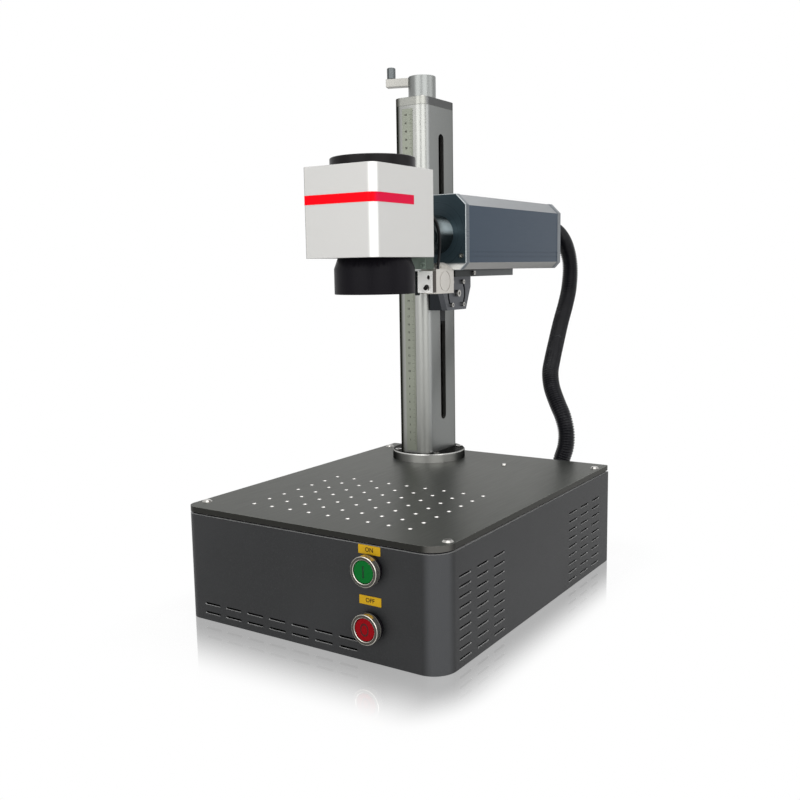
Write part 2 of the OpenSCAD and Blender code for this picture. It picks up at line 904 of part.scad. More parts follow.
module fan_frame() {
    y0 = rear_y - sheet_t - fan_t;
    color([0.1, 0.1, 0.11]) {
        difference() {
            translate([fan_x - fan_w / 2, y0, fan_z - fan_w / 2]) cube([fan_w, fan_t, fan_w]);
            bar_y(fan_x, y0 - cut, fan_z, fan_bore_r, fan_t + 2 * cut);
            for (x = [-1, 1], z = [-1, 1])
                bar_y(fan_x + x * fan_hole_span / 2, y0 - cut, fan_z + z * fan_hole_span / 2,
                    panel_screw_r, fan_t + 2 * cut);
        }
        difference() {
            for (a = [0, 90]) translate([fan_x, y0 + fan_strut_t / 2, fan_z]) rotate([0, a, 0])
                cube([2 * fan_bore_r + fan_strut_t, fan_strut_t, fan_strut_w], center = true);
            bar_y(fan_x, y0 - cut, fan_z, fan_axle_r + running_gap, fan_strut_t + 2 * cut);
        }
    }
}

module fan_rotor() {
    y0 = rear_y - sheet_t - fan_t;
    hub_y = y0 + fan_strut_t + slide_gap;
    hub_l = fan_t - fan_strut_t - 2 * fan_tip_gap;
    color([0.16, 0.16, 0.17]) {
        bar_y(fan_x, hub_y, fan_z, fan_hub_r, hub_l);
        bar_y(fan_x, y0, fan_z, fan_axle_r, fan_strut_t + 2 * slide_gap);
        for (i = [0:fan_blades - 1]) translate([fan_x, hub_y + hub_l / 2, fan_z])
            rotate([0, i * 360 / fan_blades, 0])
            translate([(fan_hub_r + fan_bore_r - fan_tip_gap) / 2 - fan_tip_gap / 2, 0, 0])
            rotate([fan_blade_tilt, 0, 0])
            cube([fan_bore_r - fan_hub_r - fan_tip_gap, fan_blade_t, fan_hub_r], center = true);
    }
}

module power_inlet() {
    color([0.08, 0.08, 0.09]) difference() {
        union() {
            translate([inlet_x - inlet_w / 2, rear_y - inlet_l, inlet_z - inlet_h / 2])
                cube([inlet_w, inlet_l, inlet_h]);
            translate([inlet_x - inlet_w / 2 - inlet_lip, rear_y, inlet_z - inlet_h / 2 - inlet_lip])
                cube([inlet_w + 2 * inlet_lip, inlet_lip_t, inlet_h + 2 * inlet_lip]);
        }
        translate([inlet_x + inlet_socket_x, rear_y + inlet_lip_t + cut - (inlet_socket_l + cut) / 2,
            inlet_z]) cube([inlet_socket_w, inlet_socket_l + cut, inlet_socket_h], center = true);
        translate([inlet_x + inlet_switch_x - inlet_switch_w / 2, rear_y + inlet_lip_t - sheet_t,
            inlet_z - inlet_socket_h / 2]) cube([inlet_switch_w, sheet_t + cut, inlet_socket_h]);
    }
}

module signal_port() {
    color([0.6, 0.6, 0.62]) difference() {
        union() {
            translate([port_x - port_w / 2, rear_y - port_l, port_z - port_h / 2])
                cube([port_w, port_l, port_h]);
            translate([port_x - port_w / 2 - port_lip, rear_y, port_z - port_h / 2 - port_lip / 2])
                cube([port_w + 2 * port_lip, port_lip_t, port_h + port_lip]);
            translate([port_x - port_w / 2 + port_wall, rear_y + port_lip_t, port_z - port_h / 2 + port_wall])
                cube([port_w - 2 * port_wall, port_shell_l, port_h - 2 * port_wall]);
        }
        translate([port_x - port_w / 2 + 2 * port_wall, rear_y + port_lip_t,
            port_z - port_h / 2 + 2 * port_wall])
            cube([port_w - 4 * port_wall, port_shell_l + cut, port_h - 4 * port_wall]);
    }
}

module hose_elbow() {
    y1 = rear_y + elbow_out;
    color([0.1, 0.1, 0.11]) difference() {
        union() {
            bar_y(elbow_x, rear_y - sheet_t - elbow_inner_nut_t, elbow_z, elbow_neck_r,
                sheet_t + elbow_inner_nut_t + cut);
            bar_y(elbow_x, rear_y, elbow_z, elbow_r, elbow_out);
            translate([elbow_x, rear_y, elbow_z]) rotate([-90, 0, 0])
                cylinder(h = elbow_nut_t, r = elbow_nut_r, $fn = 6);
            translate([elbow_x, rear_y - sheet_t, elbow_z]) rotate([90, 0, 0])
                cylinder(h = elbow_inner_nut_t, r = elbow_nut_r, $fn = 6);
            translate([elbow_x, y1, elbow_z]) sphere(elbow_r);
            translate([elbow_x, y1, elbow_z]) cylinder(h = elbow_up, r = elbow_r);
            translate([elbow_x, y1, elbow_z + elbow_up - elbow_collar_h])
                cylinder(h = elbow_collar_h, r = elbow_collar_r);
        }
        bar_y(elbow_x, rear_y - sheet_t - elbow_inner_nut_t - cut, elbow_z, elbow_bore_r,
            elbow_out + sheet_t + elbow_inner_nut_t + cut);
        translate([elbow_x, y1, elbow_z]) cylinder(h = elbow_up + cut, r = elbow_bore_r);
        translate([elbow_x, y1, elbow_z]) sphere(elbow_bore_r);
    }
}

// Column

function flange_screw_places() = [for (a = [45:90:315])
    [column_x + flange_screw_r * cos(a), column_y + flange_screw_r * sin(a)]];

module column_flange() {
    color([0.66, 0.67, 0.66]) difference() {
        translate([column_x, column_y, top_z]) {
            cylinder(h = flange_h - flange_bevel, r = flange_r, $fn = 128);
            translate([0, 0, flange_h - flange_bevel])
                cylinder(h = flange_bevel, r1 = flange_r, r2 = flange_r - flange_bevel, $fn = 128);
        }
        translate([column_x, column_y, top_z - cut]) linear_extrude(flange_h + 2 * cut)
            rounded_rect(column_w + 2 * running_gap, column_d + 2 * running_gap, column_r + running_gap);
        for (p = flange_screw_places()) {
            translate([p[0], p[1], top_z - cut])
                cylinder(h = flange_h + 2 * cut, r = flange_screw_shank_r + screw_gap, $fn = 32);
            translate([p[0], p[1], top_z + flange_h - flange_screw_sink])
                cylinder(h = flange_screw_sink + cut, r = flange_screw_head_r + screw_gap, $fn = 32);
        }
    }
}

module column_screws() {
    color("silver") {
        for (p = flange_screw_places()) {
            translate([p[0], p[1], top_z + flange_h - flange_screw_sink])
                socket_head(flange_screw_head_r, flange_screw_head_h, flange_screw_head_r / 2,
                    flange_screw_head_h / 2);
            translate([p[0], p[1], plate_z])
                cylinder(h = plate_t + flange_h - flange_screw_sink, r = flange_screw_shank_r, $fn = 32);
        }
        for (x = [-1, 1], y = [-1, 1])
            translate([column_x + x * cap_screw_x, column_y + y * cap_screw_y, column_top + column_cap_t])
                socket_head(cap_screw_head_r, cap_screw_head_h, cap_screw_head_r / 2, cap_screw_head_h / 2);
    }
}

module column() {
    color([0.72, 0.71, 0.67]) difference() {
        translate([column_x, column_y, top_z]) linear_extrude(column_h) difference() {
            rounded_rect(column_w, column_d, column_r);
            rounded_rect(column_w - 2 * column_wall, column_d - 2 * column_wall, column_r - column_wall);
        }
        translate([column_face_x - column_wall - cut, column_y - slot_w / 2, top_z + slot_lo + slot_w / 2])
            cube([column_wall + 2 * cut, slot_w, slot_l - slot_w]);
        for (z = [slot_lo + slot_w / 2, slot_lo + slot_l - slot_w / 2])
            bar_x(column_face_x - column_wall - cut, column_y, top_z + z, slot_w / 2, column_wall + 2 * cut);
    }
}

module column_cap() {
    color([0.7, 0.69, 0.66]) difference() {
        translate([column_x, column_y, column_top]) linear_extrude(column_cap_t)
            rounded_rect(column_w, column_d, column_r);
        translate([screw_x, column_y, column_top - cut])
            cylinder(h = column_cap_t + 2 * cut, r = screw_r + running_gap);
    }
}

module scale_strip() {
    color([0.72, 0.74, 0.68])
        translate([column_x - strip_left - strip_w / 2, column_front_y - strip_t, top_z + strip_lo])
        cube([strip_w, strip_t, column_h - strip_lo - strip_hi]);
}

module lower_bearing() {
    color([0.5, 0.5, 0.52]) difference() {
        translate([column_x, column_y, top_z]) linear_extrude(bearing_h)
            rounded_rect(column_w - 2 * column_wall - 2 * fit_gap, column_d - 2 * column_wall - 2 * fit_gap,
                column_r - column_wall);
        translate([screw_x, column_y, top_z + screw_foot_gap - slide_gap])
            cylinder(h = bearing_h, r = screw_r + running_gap);
    }
}

// Crank and lead screw

module lead_screw() {
    color([0.6, 0.6, 0.62]) translate([screw_x, column_y, top_z + screw_foot_gap])
        cylinder(h = hub_z + hub_seat - top_z - screw_foot_gap, r = screw_r);
}

module crank_hub() {
    color([0.7, 0.71, 0.71]) difference() {
        translate([screw_x, column_y, hub_z]) cylinder(h = hub_h, r = hub_d / 2, $fn = 96);
        translate([screw_x, column_y, hub_z - cut]) cylinder(h = hub_seat + cut, r = screw_r);
    }
}

module at_arm() {
    translate([screw_x, column_y, arm_z]) rotate([0, 0, 180 + arm_turn]) children();
}

module crank_arm() {
    color([0.82, 0.8, 0.77]) {
        difference() {
            at_arm() translate([0, -arm_w / 2, 0]) cube([arm_l + arm_end, arm_w, arm_h]);
            translate([screw_x, column_y, hub_z - cut])
                cylinder(h = hub_h + 2 * cut, r = hub_d / 2, $fn = 96);
        }
        at_arm() translate([arm_l, 0, arm_h])
            cylinder(h = knob_h - knob_cap_t - slide_gap, r = knob_pin_r, $fn = 32);
    }
}

module crank_knob() {
    color([0.45, 0.47, 0.49]) at_arm() translate([arm_l, 0, arm_h + slide_gap]) difference() {
        union() {
            cylinder(h = knob_h - knob_edge, r = knob_d / 2);
            translate([0, 0, knob_h - knob_edge])
                cylinder(h = knob_edge, r1 = knob_d / 2, r2 = knob_d / 2 - knob_edge);
        }
        translate([0, 0, -cut]) cylinder(h = knob_h - knob_cap_t + cut, r = knob_pin_r + running_gap);
    }
}

// Carriage

module lift_nut() {
    w = column_w - 2 * column_wall - 2 * guide_gap;
    z0 = pivot_z + guide_above - guide_l;
    color([0.35, 0.35, 0.37]) difference() {
        union() {
            translate([column_x, column_y, z0]) linear_extrude(guide_l)
                rounded_rect(w, column_d - 2 * column_wall - 2 * guide_gap, column_r - column_wall);
            translate([column_x, column_y - slot_w / 2 + neck_gap, z0 + neck_margin])
                cube([carriage_x0 - column_x, slot_w - 2 * neck_gap, guide_l - 2 * neck_margin]);
        }
        translate([screw_x, column_y, z0 - cut]) cylinder(h = guide_l + 2 * cut, r = screw_r + slide_gap);
    }
}

module carriage_block() {
    color([0.1, 0.12, 0.14]) {
        translate([carriage_x0, pivot_y - carriage_front, pivot_z - carriage_below])
            difference() {
                cube([carriage_t, carriage_w, carriage_below + carriage_above]);
                translate([-cut, carriage_front, carriage_below]) rotate([0, 90, 0])
                    cylinder(h = carriage_t + 2 * cut, r = pivot_r);
            }
        for (side = [-1, 1])
            bar_x(carriage_x1, pivot_y + side * arc_r, pivot_z, guide_pin_r,
                rotary_t + slide_gap - guide_pin_end);
    }
}

module pivot_screw() {
    color("silver") {
        bar_x(carriage_x0, pivot_y, pivot_z, pivot_r, carriage_t + rotary_t + 2 * slide_gap);
        translate([rotary_x1 + slide_gap, pivot_y, pivot_z]) rotate([0, 90, 0])
            socket_head(pivot_head_r, pivot_head_h, pivot_socket_r, pivot_socket_d);
    }
}

function arc_points(r, a0, a1) = [for (i = [0:arc_steps])
    r * [cos(a0 + i * (a1 - a0) / arc_steps), sin(a0 + i * (a1 - a0) / arc_steps)]];

module arc_slot() {
    half = guide_pin_r + guide_pin_gap;
    polygon(concat(arc_points(arc_r + half, -arc_half_turn, arc_half_turn),
        arc_points(arc_r - half, arc_half_turn, -arc_half_turn)));
    for (a = [-arc_half_turn, arc_half_turn])
        translate(arc_r * [cos(a), sin(a)]) circle(half, $fn = 24);
}

module rotary_plate() {
    color([0.3, 0.3, 0.34]) difference() {
        on_side(rotary_x0, rotary_t) translate([pivot_y, pivot_z]) difference() {
            polygon([[-rotary_half_w, rotary_top], [rotary_half_w, rotary_top],
                [rotary_half_w, rotary_knee], [rotary_low_half_w, -rotary_low],
                [-rotary_low_half_w, -rotary_low], [-rotary_half_w, rotary_knee]]);
            arc_slot();
            rotate(180) arc_slot();
        }
        bar_x(rotary_x0 - cut, pivot_y, pivot_z, pivot_r + running_gap, rotary_t + 2 * cut);
        for (y = [-1, 1], z = [-1, 1])
            bar_x(rotary_x1 - rotary_shank_l, pivot_y + y * rotary_screw_y, pivot_z + z * rotary_screw_z,
                rotary_shank_r, rotary_shank_l + cut);
    }
}

module rotary_screws() {
    color("silver") for (y = [-1, 1], z = [-1, 1]) {
        bar_x(rotary_x1 - rotary_shank_l, pivot_y + y * rotary_screw_y, pivot_z + z * rotary_screw_z,
            rotary_shank_r, rotary_shank_l);
        translate([rotary_x1, pivot_y + y * rotary_screw_y, pivot_z + z * rotary_screw_z])
            rotate([0, 90, 0])
            socket_head(rotary_screw_head_r, rotary_screw_head_h, rotary_socket_r, rotary_socket_d);
    }
    mount_screws();
}

// Laser tube

function octagon(over) = let (w = tube_w / 2 + over, z0 = -over, z1 = tube_h + over,
    low = tube_cut_low, top = tube_cut_top)
    [[-w, z0 + low], [-w + low, z0], [w - low, z0], [w, z0 + low],
        [w, z1 - top], [w - top, z1], [-w + top, z1], [-w, z1 - top]];

function mount_screw_places() = [for (x = [-1, 1], y = [-1, 1])
    [x * mount_screw_x, mount_y + mount_l / 2 + y * (mount_l / 2 - mount_screw_inset)]];

// Screws of the tube's mount: four in pockets from below, one at the right side
module mount_screws() {
    color("silver") {
        for (p = mount_screw_places()) translate([p[0], p[1], tube_z0 - mount_t])
            cylinder(h = mount_screw_h, r = mount_screw_r, $fn = 32);
        translate([mount_x1, mount_y + mount_side_screw_back, tube_z0 - mount_t / 2]) rotate([0, 90, 0])
            socket_head(mount_side_screw_r, mount_side_screw_h, mount_side_screw_r / 2,
                mount_side_screw_h / 2);
    }
}

module tube_mount() {
    color([0.2, 0.21, 0.23]) difference() {
        translate([mount_x0, mount_y, tube_z0 - mount_t]) cube([mount_x1 - mount_x0, mount_l, mount_t]);
        for (p = mount_screw_places()) translate([p[0], p[1], tube_z0 - mount_t - cut])
            cylinder(h = mount_screw_h + cut, r = mount_screw_r + screw_gap, $fn = 32);
        translate([mount_x0 - cut, mount_y - cut, tube_z0 - end_plate_over - fit_gap])
            cube([mount_x1 - mount_x0 + 2 * cut, tube_body_y - mount_y + cut + fit_gap, mount_t]);
    }
}

module tube_body() {
    color([0.28, 0.33, 0.4]) difference() {
        on_front(tube_body_y, tube_l) translate([0, tube_z0]) difference() {
            polygon(octagon(0));
            polygon(octagon(-tube_wall));
        }
        for (side = [-1, 1], z = groove_heights)
            translate([side * (tube_w / 2), tube_body_y + tube_l / 2, tube_z0 + z])
                cube([2 * groove_d, tube_l + 2 * cut, groove_w], center = true);
    }
}

module tube_front_plate() {
    color([0.08, 0.09, 0.1]) difference() {
        on_front(tube_front_y, front_plate_t) translate([0, tube_z0]) polygon(octagon(end_plate_over));
        bar_y(beam_x, tube_front_y - cut, axis_z, adapter_bore_r, front_plate_t + 2 * cut);
    }
}

module tube_rear_plate() {
    color([0.5, 0.53, 0.57]) difference() {
        on_front(tube_rear_y, rear_plate_t) translate([0, tube_z0]) polygon(octagon(end_plate_over));
        bar_y(gland_x, tube_rear_y - cut, tube_z0 + gland_up, gland_neck_r + fit_gap, rear_plate_t + 2 * cut);
    }
}

module tube_screws() {
    color("silver") for (side = [-1, 1]) {
        translate([side * tube_screw_x, tube_front_y, tube_z0 + tube_screw_z]) rotate([90, 0, 0])
            socket_head(tube_screw_r, tube_screw_h, tube_screw_r / 2, tube_screw_h / 2);
        for (z = [tube_screw_z, tube_screw_top_z])
            translate([side * tube_screw_x, tube_end_y, tube_z0 + z]) rotate([-90, 0, 0])
                socket_head(tube_screw_r, tube_screw_h, tube_screw_r / 2, tube_screw_h / 2);
    }
}

module isolator() {
    color([0.4, 0.4, 0.42]) difference() {
        union() {
            bar_y(0, tube_body_y, axis_z, isolator_r, isolator_l);
            bar_y(0, tube_body_y + isolator_l - cut, axis_z, isolator_step_r, isolator_step_l + cut);
        }
        bar_y(beam_x, tube_body_y - cut, axis_z, adapter_bore_r / 2, isolator_l);
    }
}

module hose_gland() {
    color([0.1, 0.1, 0.11]) difference() {
        union() {
            bar_y(gland_x, tube_rear_y, tube_z0 + gland_up, gland_neck_r, rear_plate_t + cut);
            translate([gland_x, tube_end_y, tube_z0 + gland_up]) rotate([-90, 0, 0])
                cylinder(h = gland_nut_t, r = gland_r, $fn = 6);
            bar_y(gland_x, tube_end_y + gland_nut_t - cut, tube_z0 + gland_up,
                gland_tail_r, gland_l - gland_nut_t + cut);
        }
        bar_y(gland_x, tube_rear_y - cut, tube_z0 + gland_up, gland_bore_r,
            rear_plate_t + gland_l + 2 * cut);
    }
}

// Hose, from the tube's gland down to the elbow. When an end moves, each point moves by its share, and
// the first two and the last two move with their end.
hose_marks = [[15, 342.3, 424], [15, 364, 424], [17, 384.5, 416], [20.5, 397.5, 400], [23.9, 403.5, 375],
    [25.9, 396, 343], [28.1, 379.5, 319.5], [31.7, 353, 293], [37.6, 324.5, 268], [43.7, 297, 244],
    [49.3, 278, 228], [57.1, 266, 210], [69.8, 256, 190], [80.6, 250, 173], [86.7, 247, 153],
    [86.3, 246, 134], [80, 246, 110], [80, 246, 88.3]];
hose_last = len(hose_marks) - 1;
hose_split = 6;
hose_sides = 8;
hose_joint_gap = 0.1;
hose_end_gap = 0.3;
bore_rings_share = 0.25;
hose_top = [gland_x, tube_end_y + gland_l + hose_end_gap, tube_z0 + gland_up];
hose_foot = [elbow_x, rear_y + elbow_out, elbow_z + elbow_up + hose_end_gap];
hose_points = [for (i = [0:hose_last]) let (w = i < 2 ? 0 : i > hose_last - 2 ? 1 : i / hose_last)
    hose_marks[i] + (1 - w) * (hose_top - hose_marks[0]) + w * (hose_foot - hose_marks[hose_last])];

function unit(v) = v / norm(v);

function hose_tangent(i) = i < 2 ? unit(hose_points[1] - hose_points[0])
    : i > hose_last - 2 ? unit(hose_points[hose_last] - hose_points[hose_last - 1])
    : unit(hose_points[i + 1] - hose_points[i - 1]);

// A point of the hose's centre line, s counted in points
function hose_at(s) = let (i = min(floor(s), hose_last - 1), t = s - i, b = hose_points[i],
    c = hose_points[i + 1], l = norm(c - b), m = l * hose_tangent(i), n = l * hose_tangent(i + 1))
    (2 * pow(t, 3) - 3 * pow(t, 2) + 1) * b + (pow(t, 3) - 2 * pow(t, 2) + t) * m
    + (3 * pow(t, 2) - 2 * pow(t, 3)) * c + (pow(t, 3) - pow(t, 2)) * n;

function hose_dir(s) = let (e = 1 / 64)
    unit(hose_at(min(s + e, hose_last)) - hose_at(max(s - e, 0)));

function hose_ring(s, r) = let (d = hose_dir(s), u = unit(cross(d, [1, 0, 0])), v = cross(d, u),
    p = hose_at(s))
    [for (k = [0:hose_sides - 1]) let (a = (k + 0.5) * 360 / hose_sides)
        p + r / cos(180 / hose_sides) * (cos(a) * u + sin(a) * v)];

function running_length(s0, s1, steps) = let (p = [for (i = [0:steps]) hose_at(s0 + (s1 - s0) * i / steps)])
    [for (i = 0, l = 0; i <= steps; l = l + (i < steps ? norm(p[i + 1] - p[i]) : 0), i = i + 1) l];

// Places along the hose at even steps of length
function even_places(s0, s1, count) = let (steps = 240, run = running_length(s0, s1, steps),
    total = run[steps])
    [for (j = [0:count]) let (target = total * j / count,
        k = min(len([for (l = run) if (l <= target) 1]) - 1, steps - 1),
        span = run[k + 1] - run[k], f = span > 0 ? min((target - run[k]) / span, 1) : 0)
        s0 + (s1 - s0) * (k + f) / steps];

module ribbed_tube(s0, s1, ribs) {
    crest = hose_d / 2;
    root = crest - rib_depth;
    places = even_places(s0, s1, 2 * ribs);
    bore_count = ceil(ribs * bore_rings_share);
    inner = even_places(s0, s1, bore_count);
    outer_rings = [for (j = [0:2 * ribs]) hose_ring(places[j], j % 2 == 0 ? root : crest)];
    inner_rings = [for (s = inner) hose_ring(s, hose_bore / 2 * cos(180 / hose_sides))];
    n = hose_sides;
    base = len(outer_rings) * n;
    last_outer = (len(outer_rings) - 1) * n;
    last_inner = base + (len(inner_rings) - 1) * n;
    outer_faces = [for (j = [0:len(outer_rings) - 2], k = [0:n - 1]) let (a = j * n + k,
        b = j * n + (k + 1) % n) each [[a, b + n, b], [a, a + n, b + n]]];
    inner_faces = [for (j = [0:len(inner_rings) - 2], k = [0:n - 1]) let (a = base + j * n + k,
        b = base + j * n + (k + 1) % n) each [[a, b, b + n], [a, b + n, a + n]]];
    first_cap = [for (k = [0:n - 1]) let (m = (k + 1) % n)
        each [[k, base + m, base + k], [k, m, base + m]]];
    last_cap = [for (k = [0:n - 1]) let (m = (k + 1) % n)
        each [[last_outer + k, last_inner + k, last_inner + m],
            [last_outer + k, last_inner + m, last_outer + m]]];
    polyhedron(points = [for (r = concat(outer_rings, inner_rings)) each r],
        faces = concat(outer_faces, inner_faces, first_cap, last_cap));
}

module hose_upper() {
    color([0.07, 0.07, 0.08]) ribbed_tube(0, hose_split - hose_joint_gap / hose_d, upper_ribs);
}

module hose_lower() {
    color([0.07, 0.07, 0.08]) ribbed_tube(hose_split, hose_last, lower_ribs);
}

// Beam adapter and locator

module beam_adapter() {
    color([0.1, 0.12, 0.13]) difference() {
        union() {
            bar_y(0, head_y1, axis_z, adapter_r, tube_front_y - head_y1);
            bar_y(0, head_y1, axis_z, adapter_foot_r, adapter_foot_t);
            bar_y(0, ring_y, axis_z, ring_r, ring_t);
        }
        bar_y(beam_x, head_y1 - cut, axis_z, adapter_bore_r, tube_front_y - head_y1 + 2 * cut);
    }
}

module locator_mount() {
    color([0.1, 0.14, 0.13]) {
        difference() {
            translate([0, 0, locator_z1]) {
                translate([-locator_mount_w / 2, 0, 0])
                    cube([locator_mount_w, locator_mount_d, locator_mount_h]);
                translate([-locator_mount_w / 2, 0, 0])
                    cube([locator_mount_w / 2 + locator_web_x, locator_web_d, locator_mount_h]);
            }
            bar_y(0, -cut, axis_z, adapter_r, locator_web_d + 2 * cut);
            bar_y(0, ring_y - fit_gap, axis_z, ring_r + fit_gap, ring_t + 2 * fit_gap);
        }
        for (side = [-1, 1])
            translate([side * locator_cap_screw_x, 0, locator_z1 + locator_cap_screw_up])
                rotate([90, 0, 0]) socket_head(locator_cap_screw_r, locator_cap_screw_h,
                    locator_cap_screw_r / 2, locator_cap_screw_h / 2);
    }
}

module locator_block() {
    arch_x1 = locator_x1 - arch_inset;
    mid_y = locator_front_y + locator_d / 2;
    color([0.78, 0.76, 0.73]) difference() {
        union() {
            translate([locator_x0, locator_front_y, locator_z1 - locator_h])
                cube([locator_w, locator_d, locator_h]);
            intersection() {
                bar_x(arch_x1 - arch_t, mid_y, locator_z1 + arch_rise - arch_r, arch_r, arch_t);
                translate([arch_x1 - arch_t, locator_front_y, locator_z1 - cut])
                    cube([arch_t, locator_d, arch_rise + 2 * cut]);
            }
            translate([arch_x1, locator_front_y + arch_screw_y, locator_z1 + arch_screw_up])
                rotate([0, 90, 0])
                    socket_head(arch_screw_r, arch_screw_h, arch_screw_r / 2, arch_screw_h / 2);
        }
        translate([locator_x1 - dial_d, mid_y, locator_z1 - locator_h / 2]) rotate([0, 90, 0]) difference() {
            cylinder(h = dial_d + cut, r = dial_r);
            translate([0, 0, -cut]) cylinder(h = dial_d + 3 * cut, r = dial_r - dial_w);
        }
        bar_y(locator_x0 + clamp_pin_x, locator_front_y - cut, clamp_z + clamp_pin_up,
            clamp_pin_r + running_gap, clamp_pin_l + cut);
    }
}

module at_barrel(z) {
    translate([locator_x0 - barrel_pointer_r + barrel_bite, clamp_y + barrel_pointer_r, z]) children();
}

module pointer_clamp() {
    color([0.86, 0.85, 0.83]) {
        difference() {
            translate([locator_x0, clamp_y, clamp_z]) cube([locator_w, clamp_t, clamp_h]);
            at_barrel(clamp_z - cut) cylinder(h = clamp_h + 2 * cut, r = barrel_pointer_r);
            bar_y(locator_x0 + clamp_hole_x, clamp_y - cut, clamp_z + clamp_hole_up, clamp_hole_r,
                clamp_hole_d + cut);
        }
        bar_y(locator_x0 + clamp_pin_x, clamp_y + clamp_t - cut, clamp_z + clamp_pin_up, clamp_pin_r,
            clamp_pin_l + cut);
        translate([locator_x0 + clamp_pin_x, clamp_y, clamp_z + clamp_pin_up]) rotate([90, 0, 0])
            socket_head(clamp_head_r, clamp_head_h, clamp_head_r / 2, clamp_head_h / 2);
    }
}

module pointer_barrel() {
    color([0.16, 0.12, 0.11]) at_barrel(clamp_z) {
        cylinder(h = clamp_h, r = barrel_pointer_r);
        translate([0, 0, -barrel_tip_l]) cylinder(h = barrel_tip_l + cut, r = barrel_tip_r);
    }
}

// The pointer's lead, from the locator block up past the beam adapter to the scan head
lead_marks = [[21.1, 27, 372], [21.5, 27.4, 378], [22.2, 28, 386], [23.4, 27.7, 396], [24.5, 25.8, 405],
    [25.5, 22.6, 413], [26.6, 17.4, 420.5], [28, 10, 426.5], [29.3, 0, 429.8], [30.5, -18, 431]];
lead_last = len(lead_marks) - 1;
lead_foot = [locator_x1 - lead_inset, locator_front_y + lead_foot_back, locator_z1];
lead_top = [lead_head_x, head_y1, head_z0 + lead_head_up];
lead_points = [for (i = [0:lead_last]) let (w = i / lead_last)
    lead_marks[i] + (1 - w) * (lead_foot - lead_marks[0]) + w * (lead_top - lead_marks[lead_last])];

// A round bar swept through points that rise and then run forward
module swept_bar(points, r, sides) {
    last = len(points) - 1;
    rings = [for (i = [0:last]) let (d = i == 0 ? [0, 0, 1] : i == last ? [0, -1, 0]
        : unit(points[i + 1] - points[i - 1]), u = unit(cross(d, [1, 0, 0])), v = cross(d, u))
        [for (k = [0:sides - 1]) points[i] + r * (cos(k * 360 / sides) * u + sin(k * 360 / sides) * v)]];
    polyhedron(points = [for (ring = rings) each ring],
        faces = concat([[for (k = [0:sides - 1]) k]],
            [for (j = [0:last - 1], k = [0:sides - 1]) let (a = j * sides + k,
                b = j * sides + (k + 1) % sides) each [[a, b + sides, b], [a, a + sides, b + sides]]],
            [[for (k = [sides - 1:-1:0]) last * sides + k]]));
}

module pointer_lead() {
    color([0.05, 0.05, 0.06]) swept_bar(lead_points, lead_r, lead_sides);
}

// Scan head

// Outline of the head, drawn in by inset
module head_outline(inset) {
    corner_rect(head_w - 2 * inset, head_d - 2 * inset,
        [for (r = [head_edge_r, head_edge_r, head_edge_r, head_r]) max(r - inset, 0)]);
}

module head_housing() {
    color([0.84, 0.84, 0.83]) difference() {
        translate([0, head_y, head_z0]) linear_extrude(head_h) head_outline(0);
        translate([0, head_y, head_z0 - cut]) linear_extrude(head_h - head_wall + cut)
            head_outline(head_wall);
        bar_y(beam_x, head_y1 - head_wall - cut, axis_z, adapter_bore_r, head_wall + 2 * cut);
    }
}

module red_stripe() {
    color([0.93, 0.02, 0.1]) translate([0, 0, head_z0 + stripe_z]) linear_extrude(stripe_h)
        intersection() {
            translate([0, head_y]) difference() {
                head_outline(-stripe_t);
                head_outline(0);
            }
            translate([-head_w / 2 - cut, head_y0 - cut]) square([head_w + 2 * cut, stripe_side_l + cut]);
        }
}

module head_base() {
    color([0.12, 0.12, 0.13]) difference() {
        translate([0, head_y, head_z0]) linear_extrude(head_base_t) head_outline(head_wall + fit_gap);
        translate([0, lens_y, head_z0 - cut])
            cylinder(h = head_base_t + 2 * cut, r = lens_thread_r + running_gap);
    }
}

module lens_barrel() {
    z1 = head_z0;
    bore_r = lens_thread_r - lens_wall / 2;
    color([0.08, 0.08, 0.09]) translate([0, lens_y, 0]) difference() {
        union() {
            translate([0, 0, z1]) cylinder(h = lens_thread_h, r = lens_thread_r);
            translate([0, 0, z1 - lens_cone_h])
                cylinder(h = lens_cone_h, r1 = lens_d / 2, r2 = lens_neck_d / 2, $fn = 128);
            translate([0, 0, z1 - lens_cone_h - lens_h]) cylinder(h = lens_h, r = lens_d / 2, $fn = 128);
        }
        translate([0, 0, z1 - lens_cone_h - lens_h + lens_lip_h])
            cylinder(h = lens_h - lens_lip_h, r = glass_r);
        translate([0, 0, z1 - lens_cone_h - lens_h - cut])
            cylinder(h = lens_lip_h + 2 * cut, r = glass_r - lens_lip);
        translate([0, 0, z1 - lens_cone_h - cut])
            cylinder(h = lens_cone_h + lens_thread_h + 2 * cut, r = bore_r);
    }
}

module lens_glass() {
    z = head_z0 - lens_cone_h - lens_h + lens_lip_h;
    r = glass_r - running_gap;
    color([0.5, 0.55, 0.75, 0.5]) translate([0, lens_y, z]) rotate_extrude() polygon(concat(
        [[0, 0], [r, 0]],
        [for (i = [glass_steps:-1:0]) [r * i / glass_steps,
            glass_edge_t + glass_bulge * (1 - pow(i / glass_steps, 2))]]));
}

module galvo_mount() {
    z0 = head_z0 + head_base_t;
    z1 = head_z1 - head_wall - motor_end_gap;
    y0 = head_y0 + head_wall + galvo_front_gap;
    y1 = y0 + motor_l;
    color([0.55, 0.55, 0.57]) difference() {
        union() {
            translate([-motor_r - galvo_wall, y0, z0])
                cube([beam_x + 2 * (motor_r + galvo_wall), motor_l, z1 - z0]);
            translate([beam_x - motor_r - galvo_wall, y1 - cut, z1 - motor_l])
                cube([2 * (motor_r + galvo_wall), lens_y + motor_r + galvo_wall - y1 + cut, motor_l]);
        }
        bar_y(0, y0 - cut, mirror_z, motor_r, motor_l + 2 * cut);
        translate([beam_x, lens_y, z1 - motor_l - cut]) cylinder(h = motor_l + 2 * cut, r = motor_r);
    }
}

